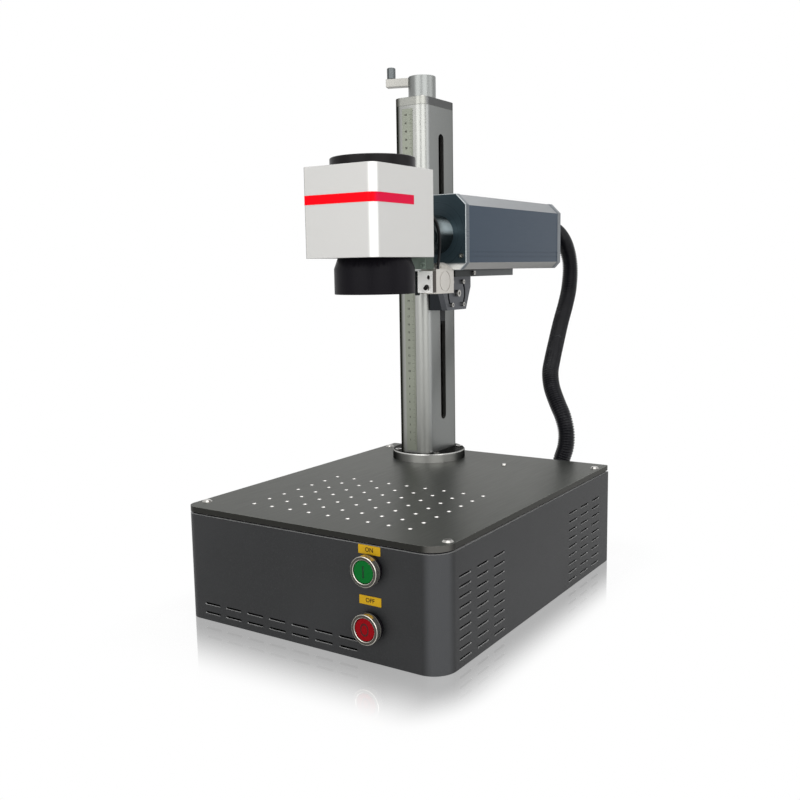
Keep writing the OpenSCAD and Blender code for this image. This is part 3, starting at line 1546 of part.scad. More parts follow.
module galvo_motors() {
    y0 = head_y0 + head_wall + galvo_front_gap;
    z1 = head_z1 - head_wall - motor_end_gap;
    color([0.2, 0.2, 0.22]) {
        difference() {
            bar_y(0, y0, mirror_z, motor_r, motor_l);
            bar_y(0, y0 + motor_l - motor_shaft_l, mirror_z, motor_shaft_r + running_gap,
                motor_shaft_l + cut);
        }
        difference() {
            translate([beam_x, lens_y, z1 - motor_l]) cylinder(h = motor_l, r = motor_r);
            translate([beam_x, lens_y, z1 - motor_l - cut])
                cylinder(h = motor_shaft_l + cut, r = motor_shaft_r + running_gap);
        }
    }
}

module mirror_x() {
    z1 = head_z1 - head_wall - motor_end_gap - motor_l;
    color([0.85, 0.87, 0.9]) {
        translate([beam_x, lens_y, mirror_z + mirror_x_h / 2 - cut])
            cylinder(h = z1 + motor_shaft_l - slide_gap - mirror_z - mirror_x_h / 2 + cut, r = motor_shaft_r);
        translate([beam_x, lens_y, mirror_z]) rotate([0, 0, 45])
            cube([mirror_x_w, mirror_t, mirror_x_h], center = true);
    }
}

module mirror_y() {
    y1 = head_y0 + head_wall + galvo_front_gap + motor_l;
    front = lens_y - mirror_y_l / 2;
    color([0.85, 0.87, 0.9]) {
        bar_y(0, y1 - motor_shaft_l + slide_gap, mirror_z, motor_shaft_r,
            front + cut - y1 + motor_shaft_l - slide_gap);
        translate([0, lens_y, mirror_z]) rotate([0, 45, 0])
            cube([mirror_y_w, mirror_y_l, mirror_t], center = true);
    }
}

module lens_cap() {
    r = dust_cap_d / 2;
    color([0.09, 0.08, 0.08]) translate([dust_cap_x, -dust_cap_forward, head_z1]) difference() {
        union() {
            cylinder(h = dust_cap_h - dust_cap_edge, r = r, $fn = 128);
            translate([0, 0, dust_cap_h - dust_cap_edge])
                cylinder(h = dust_cap_edge, r1 = r, r2 = r - dust_cap_edge, $fn = 128);
        }
        translate([0, 0, -cut])
            cylinder(h = dust_cap_h - dust_cap_wall + cut, r = r - dust_cap_wall, $fn = 128);
    }
}

cabinet_shell();
bottom_pan();
rear_panel();
plate_seal();
top_plate();
plate_screws();
panel_screws();
button_tags();
button_rings();
switch_blocks();
green_cap();
red_cap();
laser_source();
power_supply();
control_board();
fan_frame();
fan_rotor();
power_inlet();
signal_port();
hose_elbow();
column_flange();
column_screws();
column();
column_cap();
scale_strip();
lower_bearing();
lead_screw();
crank_hub();
crank_arm();
crank_knob();
lift_nut();
carriage_block();
pivot_screw();
rotary_plate();
rotary_screws();
tube_mount();
tube_body();
tube_front_plate();
tube_rear_plate();
tube_screws();
isolator();
hose_gland();
hose_upper();
hose_lower();
beam_adapter();
locator_mount();
locator_block();
pointer_clamp();
pointer_barrel();
pointer_lead();
head_housing();
head_base();
red_stripe();
galvo_mount();
galvo_motors();
mirror_x();
mirror_y();
lens_barrel();
lens_glass();
lens_cap();
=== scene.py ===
# %% [markdown]
# # A bench laser marking machine
# The real machine is a vented sheet-metal cabinet with a drilled work plate on top. A column with a hand
# crank lifts a laser tube, and the scan head at the tube's front end marks what lies on the plate. The
# bodies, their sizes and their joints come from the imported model, so this lesson is about surfaces, small
# marks, a ribbed hose and light. Everything is in metres, in the model's own frame.

# %% Load the fixed frame
import math

import bmesh
import bpy
import numpy as np
from mathutils import Matrix, Vector


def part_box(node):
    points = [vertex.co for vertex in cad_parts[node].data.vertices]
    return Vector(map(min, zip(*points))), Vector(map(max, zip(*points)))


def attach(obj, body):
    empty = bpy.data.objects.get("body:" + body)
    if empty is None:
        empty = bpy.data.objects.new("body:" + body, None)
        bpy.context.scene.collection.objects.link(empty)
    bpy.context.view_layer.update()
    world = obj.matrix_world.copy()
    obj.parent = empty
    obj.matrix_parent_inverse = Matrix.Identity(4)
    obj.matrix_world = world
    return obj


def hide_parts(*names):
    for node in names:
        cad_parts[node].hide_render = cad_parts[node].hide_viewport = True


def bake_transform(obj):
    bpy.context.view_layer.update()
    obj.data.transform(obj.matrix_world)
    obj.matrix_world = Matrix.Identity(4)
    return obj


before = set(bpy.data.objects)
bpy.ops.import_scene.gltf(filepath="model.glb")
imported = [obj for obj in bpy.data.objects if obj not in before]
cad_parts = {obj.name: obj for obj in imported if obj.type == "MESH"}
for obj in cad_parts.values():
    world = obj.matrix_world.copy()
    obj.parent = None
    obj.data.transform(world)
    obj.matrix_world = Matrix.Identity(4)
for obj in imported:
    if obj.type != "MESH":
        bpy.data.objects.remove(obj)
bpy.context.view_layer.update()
MM = 0.001

# %% [markdown]
# ## The camera
# A photograph can be matched by hand, by turning the camera until the edges line up. Here the place, the
# three angles and the focal length were solved from the cabinet's straight edges, which is exact and leaves
# nothing to guess. The camera looks along `forward`, so its own Z axis points the other way.

# %% Camera
YAW, PITCH, ROLL = 0.57897523, 0.14029001, 0.01649178
CAMERA_PLACE = (0.57492, -0.90385, 0.37431)
FOCAL_LENGTH, SENSOR_WIDTH = 42.154, 36

forward = np.array([-math.sin(YAW) * math.cos(PITCH), math.cos(YAW) * math.cos(PITCH), -math.sin(PITCH)])
level = np.array([math.cos(YAW), math.sin(YAW), 0])
down = np.cross(forward, level)
right = math.cos(ROLL) * level + math.sin(ROLL) * down
under = math.cos(ROLL) * down - math.sin(ROLL) * level

lens = bpy.data.cameras.new("camera")
lens.lens = FOCAL_LENGTH
lens.sensor_width = SENSOR_WIDTH
lens.sensor_fit = "HORIZONTAL"
lens.clip_start = 0.01
camera = bpy.data.objects.new("camera", lens)
camera.matrix_world = Matrix.Translation(CAMERA_PLACE) @ Matrix(
    np.array([right, -under, -forward]).T.tolist()).to_4x4()
bpy.context.collection.objects.link(camera)
bpy.context.scene.camera = camera
print("camera", [round(v, 3) for v in camera.location])

# %% [markdown]
# ## A small language for finishes
# Shader maths drawn as dozens of Math nodes is hard to read, and typed as nodes and links it is hard to
# write. `Wire` wraps one socket, so that `1 - mask * 0.5` adds the nodes by itself. `Finish` is a material
# with one Principled shader, and its `node` method adds any other node in one line. Colours go through Mix
# nodes, because a Math node would turn them grey.

# %% Wires and finishes
class Wire:
    """One output socket, which can be used as a number."""

    def __init__(self, tree, socket):
        self.tree, self.socket = tree, socket

    def math(self, operation, *values):
        node = self.tree.nodes.new("ShaderNodeMath")
        node.operation = operation
        for slot, value in zip(node.inputs, values):
            plug(self.tree, slot, value)
        return Wire(self.tree, node.outputs[0])

    def __add__(self, other): return self.math("ADD", self, other)
    def __radd__(self, other): return self.math("ADD", other, self)
    def __sub__(self, other): return self.math("SUBTRACT", self, other)
    def __rsub__(self, other): return self.math("SUBTRACT", other, self)
    def __mul__(self, other): return self.math("MULTIPLY", self, other)
    def __rmul__(self, other): return self.math("MULTIPLY", other, self)
    def __abs__(self): return self.math("ABSOLUTE", self)
    def __pow__(self, other): return self.math("POWER", self, other)
    def at_least(self, other): return self.math("MAXIMUM", self, other)
    def at_most(self, other): return self.math("MINIMUM", self, other)


def plug(tree, slot, value):
    """Link a wire into a socket, or set the socket's own value."""
    if isinstance(value, Wire):
        tree.links.new(value.socket, slot)
    elif isinstance(value, (int, float)) and slot.type in ("RGBA", "VECTOR"):
        slot.default_value = [value] * 3 + ([1] if slot.type == "RGBA" else [])
    elif isinstance(value, (tuple, list)) and slot.type == "RGBA":
        slot.default_value = [*value, 1][:4]
    else:
        slot.default_value = value


class Finish:
    """A material with one Principled shader."""

    def __init__(self, name, color, roughness=0.5, metallic=0.0, **sockets):
        self.material = bpy.data.materials.new(name)
        self.material.use_nodes = True
        self.tree = self.material.node_tree
        self.skin = self.tree.nodes["Principled BSDF"]
        self.set("Base Color", color)
        self.set("Roughness", roughness)
        self.set("Metallic", metallic)
        for label, value in sockets.items():
            self.set(label.replace("_", " "), value)
        self.place = self.node("ShaderNodeTexCoord", out="Object")
        self.facing = self.node("ShaderNodeTexCoord", out="Normal")

    def set(self, label, value):
        plug(self.tree, self.skin.inputs[label], value)

    def node(self, kind, settings=None, inputs=None, out=0):
        node = self.tree.nodes.new(kind)
        for name, value in (settings or {}).items():
            setattr(node, name, value)
        for name, value in (inputs or {}).items():
            plug(self.tree, node.inputs[name], value)
        return Wire(self.tree, node.outputs[out])

    def axes(self, vector):
        """The X, Y and Z of a vector, as three numbers."""
        first = self.node("ShaderNodeSeparateXYZ", inputs={"Vector": vector})
        return [Wire(self.tree, s) for s in first.socket.node.outputs]

    def noise(self, scale, detail=2.0, stretch=(1, 1, 1)):
        """Noise with spots about 1 / scale metres wide, longer where stretch is under 1."""
        spread = self.node("ShaderNodeVectorMath", {"operation": "MULTIPLY"}, {0: self.place, 1: stretch})
        return self.node("ShaderNodeTexNoise", None,
            {"Vector": spread, "Scale": scale, "Detail": detail}, "Fac")

    def step(self, value, low, high):
        """0 under low and 1 over high, smooth between."""
        return self.node("ShaderNodeMapRange", {"interpolation_type": "SMOOTHSTEP"},
            {"Value": value, "From Min": low, "From Max": high})

    def mix(self, amount, first, second):
        """A colour between two colours."""
        return self.node("ShaderNodeMix", {"data_type": "RGBA"}, {0: amount, 6: first, 7: second}, 2)

    def paint(self, amount, first, second):
        """Let the base colour go from one colour to another."""
        self.set("Base Color", self.mix(amount, first, second))

    def relief(self, height, depth, strength=1.0):
        """Turn a height from 0 to 1 into a bump that is depth metres deep."""
        self.set("Normal", self.node("ShaderNodeBump", None,
            {"Height": height, "Distance": depth, "Strength": strength}, "Normal"))


def tint(color, factor):
    """The same colour, lighter or darker."""
    return tuple(min(c * factor, 1) for c in color)


print("wires ready")

# %% [markdown]
# ## The ribbed hose
# The hose is a corrugated plastic tube: stiff, glossy and full of round ribs 3.2 mm apart. A bevelled curve
# would give a smooth tube, and a displacement would need millions of points, so the rings are laid one by one
# along the route. The route is the same list of points that the solid model uses, and the hose is in two
# lengths, split at one of those points.

# %% Route of the hose
HOSE_MARKS = [Vector(p) * MM for p in [
    (15, 342.3, 424), (15, 364, 424), (17, 384.5, 416), (20.5, 397.5, 400), (23.9, 403.5, 375),
    (25.9, 396, 343), (28.1, 379.5, 319.5), (31.7, 353, 293), (37.6, 324.5, 268), (43.7, 297, 244),
    (49.3, 278, 228), (57.1, 266, 210), (69.8, 256, 190), (80.6, 250, 173), (86.7, 247, 153),
    (86.3, 246, 134), (80, 246, 110), (80, 246, 88.3)]]
HOSE_SPLIT = 6
HOSE_RADIUS = 11.3 * MM
RIB_PITCH = 3.2 * MM


def heading(points, i):
    """Direction of the route at point i, square to the fittings at both ends."""
    last = len(points) - 1
    a, b = (0, 1) if i < 2 else (last - 1, last) if i > last - 2 else (i - 1, i + 1)
    return (points[b] - points[a]).normalized()


def smooth_route(points, first, last, steps=48):
    """Points along the route from one mark to another, close together."""
    out = []
    for i in range(first, last):
        b, c = points[i], points[i + 1]
        m, n = heading(points, i) * (c - b).length, heading(points, i + 1) * (c - b).length
        for k in range(steps):
            t = k / steps
            out.append(b * (2*t**3 - 3*t**2 + 1) + m * (t**3 - 2*t**2 + t) + c * (3*t**2 - 2*t**3)
                + n * (t**3 - t**2))
    return out + [points[last].copy()]


def even(path, count):
    """count + 1 points at equal steps along a path, each with its direction, and the path's length."""
    run = np.concatenate([[0], np.cumsum([(b - a).length for a, b in zip(path, path[1:])])])
    xyz = np.array(path)
    places = np.linspace(0, run[-1], count + 1)
    spots = [Vector([np.interp(s, run, xyz[:, k]) for k in range(3)]) for s in places]
    ways = [(spots[min(i + 1, count)] - spots[max(i - 1, 0)]).normalized() for i in range(count + 1)]
    return spots, ways, run[-1]


upper_route = smooth_route(HOSE_MARKS, 0, HOSE_SPLIT)
lower_route = smooth_route(HOSE_MARKS, HOSE_SPLIT, len(HOSE_MARKS) - 1)
upper_length, lower_length = even(upper_route, 1)[2], even(lower_route, 1)[2]
print("hose", round(upper_length, 3), "m above the split,", round(lower_length, 3), "m below")

# %% [markdown]
# ## Rings into a tube
# A tube is a row of rings of points, one for each place along a path, with faces from ring to ring. Rings
# that grow and shrink make ribs, and rings of one size make the thin lead later.

# %% Tube along a path
def new_mesh(name, build, finish=None, body=None):
    """A new object whose mesh the function build makes in a bmesh."""
    shape = bmesh.new()
    build(shape)
    mesh = bpy.data.meshes.new(name)
    shape.to_mesh(mesh)
    shape.free()
    mesh.polygons.foreach_set("use_smooth", [True] * len(mesh.polygons))
    piece = bpy.data.objects.new(name, mesh)
    bpy.context.collection.objects.link(piece)
    if finish:
        mesh.materials.append(finish.material)
    if body:
        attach(piece, body)
    return piece


def join_rings(shape, rings):
    """Faces from each ring of points to the next."""
    for a, b in zip(rings, rings[1:]):
        for k in range(len(a)):
            after = (k + 1) % len(a)
            shape.faces.new((a[k], a[after], b[after], b[k]))


def lay_rings(shape, spots, ways, radii, sides):
    """Join a ring at each spot to the next, and close both ends."""
    rings = []
    for spot, way, radius in zip(spots, ways, radii):
        u = way.cross(Vector((1, 0, 0))).normalized()
        v = way.cross(u)
        rings.append([shape.verts.new(spot + radius * (math.cos(a) * u + math.sin(a) * v))
            for a in np.linspace(0, 2 * math.pi, sides, endpoint=False)])
    join_rings(shape, rings)
    shape.faces.new(rings[0][::-1])
    shape.faces.new(rings[-1])
    bmesh.ops.recalc_face_normals(shape, faces=shape.faces)


print("ring tools ready")

# %% [markdown]
# ## The ribs of the hose
# `RIB` says for eight places along one rib how many millimetres the wall lies under the crest. A whole
# number of ribs fills the route, so each length starts and ends in a groove. The plastic is black and glossy,
# with paler scuffs here and there.

# %% Ribs
RIB = [(0.0, 1.5), (0.12, 1.5), (0.24, 0.5), (0.37, 0.08), (0.5, 0.0), (0.63, 0.08), (0.76, 0.5),
    (0.88, 1.5)]
GROOVE = 1.5
RIB_STEPS = 50
HOSE_SIDES = 28
HOSE_BLACK, HOSE_SCUFF = (0.006, 0.006, 0.008), (0.014, 0.014, 0.016)


def ribbed(shape, route):
    """Lay ribs along a route."""
    ribs = round(even(route, 1)[2] / RIB_PITCH)
    spots, ways, _ = even(route, ribs * RIB_STEPS)
    picks = [(round((n + share) * RIB_STEPS), drop) for n in range(ribs) for share, drop in RIB]
    picks.append((ribs * RIB_STEPS, GROOVE))
    lay_rings(shape, [spots[i] for i, _ in picks], [ways[i] for i, _ in picks],
        [HOSE_RADIUS - drop * MM for _, drop in picks], HOSE_SIDES)


hose_black = Finish("ribbed_black_plastic", HOSE_BLACK, 0.2, Specular_IOR_Level=0.14)
scuffs = hose_black.step(hose_black.noise(55, 5), 0.5, 0.75)
hose_black.paint(scuffs, HOSE_BLACK, HOSE_SCUFF)
hose_black.set("Roughness", 0.16 + 0.2 * scuffs)
hose_black.relief(hose_black.noise(900, 3), 0.00008)

hose_upper = new_mesh("hose_upper_ribs", lambda s: ribbed(s, upper_route), hose_black)
hose_lower = new_mesh("hose_lower_ribs", lambda s: ribbed(s, lower_route), hose_black)
print("ribs", len(hose_upper.data.polygons) + len(hose_lower.data.polygons), "faces")

# %% [markdown]
# ## The two lengths of the hose
# The lower length goes from the cabinet to the carriage, the upper one from the carriage to the tilting tube.
# Each takes the place of the imported model's hose node, which is hidden.

# %% Hose lengths
LOWER_START, LOWER_END = (0.08, 0.246, 0.095), (0.08, 0.246, 0.3195)
for hose, node, exit_point, bodies, start, end, route in [
    (hose_upper, "hose_upper", HOSE_MARKS[0], ("carriage", "optic"),
        HOSE_MARKS[HOSE_SPLIT], HOSE_MARKS[0], upper_route),
    (hose_lower, "hose_lower", HOSE_MARKS[-1], ("base", "carriage"),
        LOWER_START, LOWER_END, lower_route[::-1])]:
    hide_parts(node)
    even(route, 1)[2]
    [tuple(p) for p in route[::8]] + [tuple(route[-1])]
    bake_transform(hose)

# %% [markdown]
# ## Powder coat
# The cabinet is sheet steel with a dark, fine-textured powder coat: tiny bumps, a dull sheen and hardly any
# colour change. Fine noise makes the bumps, and a wide, weak noise keeps large walls from looking dead.
# Where the sheet bends at the front's right corner, and on every face that looks up, such as the lips of the
# vents, a lighter colour is painted in as a highlight. The normal finds those places: `nx * ny` is under zero
# only where the front turns to the right, and `nz` is over zero on what looks up. The same two tests return
# on the plate and on the head.

# %% Powder coat
CHARCOAL = (0.0155, 0.016, 0.0168)
# the pale colour below is a painted highlight for faces that look up
PAINTED_UPWARD_HIGHLIGHT = (0.42, 0.42, 0.42)
powder = Finish("charcoal_powder_coat", CHARCOAL, 0.45, Specular_IOR_Level=0.2)
grain = powder.noise(1400, 2)
cloud = powder.noise(9, 3)
nx, ny, nz = powder.axes(powder.facing)
# painted highlight: lighter at the front's right corner, where the sheet bends, and pale on every face that
# looks up
bend = powder.step(nx * ny, -0.1, -0.42)
lip = powder.step(nz, 0.12, 0.3)
speckled = powder.mix(powder.step(grain, 0.55, 0.75), CHARCOAL, tint(CHARCOAL, 2.0))
clouded = powder.mix(powder.step(cloud, 0.35, 0.7), speckled, tint(CHARCOAL, 1.3))
bent = powder.mix(bend, clouded, tint(CHARCOAL, 3.3))
powder.paint(lip, bent, PAINTED_UPWARD_HIGHLIGHT)
powder.set("Roughness", 0.38 + 0.16 * grain)
powder.relief(grain, 0.0002, 0.8)
print("powder coat ready")

# %% [markdown]
# ## Anodised and machined aluminium
# Extruded and milled aluminium shows fine lines along the way it was made. The noise is stretched along one
# axis, so the lines follow the piece, and they feed both the roughness and a shallow bump. Turned faces show
# rings round their axis instead, which come from the distance to that axis. Each side of a brushed piece
# mirrors another part of the room, and the side function below paints that reflection into the base colour: a
# shade for each side, and a dark one on the left side and along a rounded left edge. A dark specular tint
# keeps the sides that are seen at a flat angle from turning white.

# %% Drawn and turned metal
SOFT_EDGE = 3 * MM


def drawn_metal(name, color, roughness, stretch, metallic=0.85, strength=0.25):
    """Metal with fine lines: stretch is small along the axis that the lines follow."""
    metal = Finish(name, color, roughness, metallic, Specular_IOR_Level=0.25)
    lines = metal.noise(1800, 3, stretch)
    cloud = metal.noise(14, 3)
    metal.paint(metal.step(cloud, 0.3, 0.75), color, tint(color, 0.86))
    metal.set("Roughness", roughness - 0.07 + 0.14 * lines)
    metal.relief(lines, 0.00006, strength)
    return metal


def turned_metal(name, color, roughness, centre, plane, metallic=0.9, rings=1400, depth=0.00006):
    """Metal with rings round an axis through centre; plane names the two axes of the face."""
    metal = Finish(name, color, roughness, metallic, Specular_IOR_Level=0.25)
    axes = metal.axes(metal.place)
    a, b = axes["xyz".index(plane[0])] - centre[0], axes["xyz".index(plane[1])] - centre[1]
    distance = (a * a + b * b) ** 0.5
    groove = metal.node("ShaderNodeTexNoise", {"noise_dimensions": "1D"},
        {"W": distance, "Scale": rings, "Detail": 2}, "Fac")
    metal.set("Roughness", roughness - 0.08 + 0.18 * groove)
    metal.relief(groove, depth, 0.5)
    return metal


def by_facing(metal, front, right, left, node=None, edge=0):
    """Painted reflection: one shade for each side, and a dark one on the left side; edge is the width of a
    node's rounded left edge in millimetres, which is painted dark too.
    """
    nx = metal.axes(metal.facing)[0]
    # painted reflection: the front and right sides get their own shades, the left side and the left edge a
    # dark one
    shade = metal.mix(metal.step(nx, 0.8, 0.98), front, right)
    painted_dark_left = metal.step(nx, -0.05, -0.4)
    if node:
        across = metal.axes(metal.place)[0]
        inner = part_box(node)[0].x + edge * MM
        painted_dark_left = painted_dark_left.at_least(metal.step(across, inner, inner - SOFT_EDGE))
    metal.paint(painted_dark_left, shade, left)
    metal.set("Specular Tint", (0.2, 0.2, 0.18))


print("metal tools ready")

# %% [markdown]
# ## Column, flange and crank
# The column is brushed along its height and its cap along its depth, and each side of both gets a painted
# reflection. The flange is turned: a painted reflection of the dark column makes its flat top dark, a painted
# highlight makes its rim bright, and its wall gets a painted highlight where it faces the right lamp.

# %% Column, flange and crank
FLANGE_CENTRE, HUB_CENTRE = (-0.069, 0.15), (-0.0726, 0.15)
column_silver = drawn_metal("column_satin_silver", (0.24, 0.244, 0.238), 0.32, (1, 1, 0.02), 0.95)
# painted reflection: the column and its cap get a painted shade for each side
by_facing(column_silver, (0.28, 0.284, 0.27), (0.255, 0.262, 0.258), (0.03, 0.032, 0.026), "column", 8)
cap_silver = drawn_metal("cap_satin_silver", (0.25, 0.253, 0.245), 0.36, (1, 0.05, 1), 0.95)
by_facing(cap_silver, (0.27, 0.273, 0.252), (0.135, 0.137, 0.138), (0.1, 0.1, 0.09), "column_cap", 7)
flange_silver = turned_metal("flange_turned_silver", (0.17, 0.172, 0.165), 0.28, FLANGE_CENTRE, "xy", 0.95)
flange_silver.set("Specular Tint", (0.2, 0.2, 0.2))
nx, ny, nz = flange_silver.axes(flange_silver.facing)
# painted highlight on the wall where it faces the right lamp and on the rim, painted reflection of the dark
# column on the flat top
to_lamp = flange_silver.step(0.5 * nx - 0.86 * ny, 0.45, 0.98)
wall = flange_silver.mix(to_lamp, (0.09, 0.092, 0.088), (0.42, 0.42, 0.4))
rim = flange_silver.mix(flange_silver.step(nz, 0.1, 0.3), wall, (0.5, 0.5, 0.48))
flange_silver.paint(flange_silver.step(nz, 0.85, 0.97), rim, (0.085, 0.086, 0.082))
hub_silver = turned_metal("hub_turned_silver", (0.21, 0.218, 0.212), 0.3, HUB_CENTRE, "xy", 0.95)
arm_silver = drawn_metal("arm_light_satin", (0.3, 0.295, 0.275), 0.4, (0.1, 1, 1), 0.8)
knob_steel = drawn_metal("knob_dark_steel", (0.09, 0.098, 0.1), 0.3, (1, 1, 0.05), 0.95)
print("column metals ready")

# %% [markdown]
# ## Button rings and the pointer's clamp
# The rings of the buttons get a painted highlight on their bevels, are darker on their faces and black on the
# collar behind them, which the depth behind the ring's front picks out. The clamp of the pointer is bare and
# light on its front with painted shade on its right side, and the shade of a screw recess and of a hole is
# painted as two dark round spots: X, Z and radius in millimetres.

# %% Rings and locator
# painted light: the ring's bevel colour is a highlight, the clamp's side colour is shade, and its hole colour
# is the shade of a recess and a hole
RING_FACE, RING_BEVEL_HIGHLIGHT, COLLAR = (0.075, 0.071, 0.062), (0.6, 0.57, 0.51), (0.006, 0.005, 0.007)
CLAMP, CLAMP_SIDE_SHADE, CLAMP_HOLE_SHADE = (0.98, 0.97, 0.94), (0.04, 0.032, 0.026), (0.01, 0.009, 0.008)
CLAMP_SHADE_SPOTS = ((17.5, 363.5, 1.9), (15, 351.5, 3.4))
bright_steel = drawn_metal("bright_steel", (0.42, 0.41, 0.39), 0.2, (1, 1, 1), 0.95)
ring_steel = drawn_metal("ring_warm_steel", (0.2, 0.188, 0.165), 0.2, (1, 1, 1), 0.95)
ny = ring_steel.axes(ring_steel.facing)[1]
depth = ring_steel.axes(ring_steel.place)[1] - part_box("button_rings")[0].y
collar = ring_steel.step(depth, 5.5 * MM, 7 * MM)
# painted highlight on the bevels of the rings
bright = ring_steel.mix(ring_steel.step(abs(ny), 0.99, 0.9), RING_FACE, RING_BEVEL_HIGHLIGHT)
ring_steel.paint(collar, bright, COLLAR)
ring_steel.set("Metallic", 0.95 - 0.9 * collar)
locator_silver = drawn_metal("locator_bright_satin", (0.53, 0.51, 0.475), 0.3, (1, 0.1, 1), 0.85)
clamp_silver = drawn_metal("clamp_bright_satin", CLAMP, 0.4, (1, 1, 0.1), 0.1)
x, _, z = clamp_silver.axes(clamp_silver.place)
nx = clamp_silver.axes(clamp_silver.facing)[0]
# painted shade on the clamp's right side, and the shade of a screw recess and a hole painted as dark spots
shade = clamp_silver.mix(clamp_silver.step(nx, 0.6, 0.9), CLAMP, CLAMP_SIDE_SHADE)
for across, up, radius in CLAMP_SHADE_SPOTS:
    a, b = x - across * MM, z - up * MM
    spot = clamp_silver.step((a * a + b * b) ** 0.5, radius * MM, 0.9 * radius * MM)
    shade = clamp_silver.mix(spot, shade, CLAMP_HOLE_SHADE)
clamp_silver.set("Base Color", shade)
print("ring and clamp ready")

# %% [markdown]
# ## Carriage, tube and the dark pieces
# Most of these are anodised dark, so they take less metal and a lower base colour. The front plate of the
# tube and the beam adapter are turned round the tube's own axis.

# %% Carriage and tube
TUBE_AXIS = (0.0, 0.412)
TUBE_BLUE, FRONT_BLACK, OLIVE = (0.03, 0.048, 0.073), (0.028, 0.045, 0.055), (0.2, 0.235, 0.21)
tube_blue = drawn_metal("tube_blue_grey", TUBE_BLUE, 0.36, (1, 0.02, 1), 0.55, 0.4)
end_grey = drawn_metal("tube_end_grey", (0.16, 0.175, 0.19), 0.34, (1, 1, 0.1), 0.6)
dark_metal = drawn_metal("dark_anodised", (0.045, 0.05, 0.052), 0.34, (1, 0.1, 1), 0.5)
block_metal = drawn_metal("block_dark_anodised", (0.01, 0.0125, 0.0155), 0.34, (1, 1, 0.1), 0.5)
rotary_grey = drawn_metal("rotary_dark_grey", (0.09, 0.094, 0.104), 0.32, (1, 1, 0.2), 0.6)
bracket_grey = drawn_metal("bracket_dark_olive", OLIVE, 0.3, (1, 0.2, 1), 0.5)
# painted reflection and shade: the bracket's front is painted light, its right side dark
by_facing(bracket_grey, (0.4, 0.49, 0.42), (0.08, 0.1, 0.085), OLIVE)
black_metal = drawn_metal("black_anodised", (0.009, 0.01, 0.011), 0.34, (1, 0.2, 1), 0.4)
inner_steel = drawn_metal("plain_zinc_sheet", (0.4, 0.4, 0.4), 0.4, (0.1, 1, 1), 0.8)
front_black = turned_metal("front_plate_turned_black", FRONT_BLACK, 0.3, TUBE_AXIS, "xz", 0.25, 900, 0.00012)
adapter_black = turned_metal("adapter_turned_black", (0.03, 0.04, 0.043), 0.22, TUBE_AXIS, "xz", 0.7, 1200)
print("dark metals ready")

# %% [markdown]
# ## Work plate
# The plate is milled and dark anodised. A painted highlight runs round its chamfer, its upright walls have
# painted shade, and a painted highlight lies where they turn at the front's right corner. The chamfer's faces
# are the only ones whose normal is neither flat nor upright, so the normal itself picks them out.

# %% Work plate
# the second, third and fourth colours are painted: a highlight on the chamfer, shade on the walls, a
# highlight at the walls' front-right corner
PLATE, PLATE_CHAMFER_HIGHLIGHT = (0.04, 0.0425, 0.039), (0.5, 0.5, 0.45)
PLATE_WALL_SHADE, PLATE_CORNER_HIGHLIGHT = (0.014, 0.014, 0.0125), (0.085, 0.083, 0.077)
plate_dark = Finish("plate_dark_anodised", PLATE, 0.36, 0.3, Specular_IOR_Level=0.25,
    Specular_Tint=(0.6, 0.6, 0.55))
nx, ny, nz = plate_dark.axes(plate_dark.facing)
milled = plate_dark.noise(700, 3, (1, 0.03, 1))
cloud = plate_dark.noise(7, 4)
# painted highlight on the chamfer and at the front-right corner, painted shade on the upright walls
chamfer = plate_dark.step(abs(nz), 0.1, 0.25) * plate_dark.step(abs(nz), 0.98, 0.9)
upright = plate_dark.step(abs(nz), 0.1, 0.02)
corner = plate_dark.step(nx * ny, -0.08, -0.42)
top = plate_dark.mix(plate_dark.step(cloud, 0.3, 0.75), PLATE, tint(PLATE, 0.85))
flat_faces = plate_dark.mix(upright, top, plate_dark.mix(corner, PLATE_WALL_SHADE, PLATE_CORNER_HIGHLIGHT))
plate_dark.paint(chamfer, flat_faces, PLATE_CHAMFER_HIGHLIGHT)
plate_dark.set("Roughness", 0.32 + 0.12 * milled)
plate_dark.relief(milled, 0.00005, 0.4)
print("plate ready")

# %% [markdown]
# ## Light and shade on the tube
# All of these are painted into the base colour. The slanted faces of the tube get a painted highlight, palest
# on the lower ones, and its front plate gets a painted reflection on its foot, a painted highlight on its
# border and a painted shade of its own on its outer walls. The adapter's ring gets a painted highlight on its
# right side, and the plate that clamps the tube gets painted shade towards its front.

# %% Tube, front plate, adapter and mount
# painted highlight on the tube's slanted faces, palest on the lower ones
nz = tube_blue.axes(tube_blue.facing)[2]
slope = tube_blue.step(abs(nz), 0.3, 0.45) * tube_blue.step(abs(nz), 0.95, 0.85)
below = tube_blue.step(nz, -0.3, -0.5) * slope
sloping = tube_blue.mix(slope, TUBE_BLUE, (0.22, 0.23, 0.24))
tube_blue.paint(below, sloping, (0.27, 0.27, 0.262))

# painted reflection on the plate's foot, painted highlight on its border, painted shade of their own on its
# outer walls
ny = front_black.axes(front_black.facing)[1]
rise = front_black.axes(front_black.place)[2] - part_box("tube_front_plate")[0].z
foot = front_black.mix(front_black.step(rise, 9 * MM, 5 * MM), FRONT_BLACK, (0.85, 0.85, 0.83))
border = front_black.mix(front_black.step(abs(ny), 0.98, 0.9), foot, (0.45, 0.48, 0.49))
front_black.paint(front_black.step(abs(ny), 0.15, 0.05), border, (0.09, 0.105, 0.12))

# painted highlight on the adapter's right side
nx, _, nz = adapter_black.axes(adapter_black.facing)
depth = adapter_black.axes(adapter_black.place)[1]
shine = adapter_black.step(nx, 0.6, 0.95) * adapter_black.step(nz, -0.1, 0.25)
shine = shine * adapter_black.step(depth, 0.022, 0.045)
adapter_black.paint(shine, (0.02, 0.028, 0.03), (0.75, 0.86, 0.88))

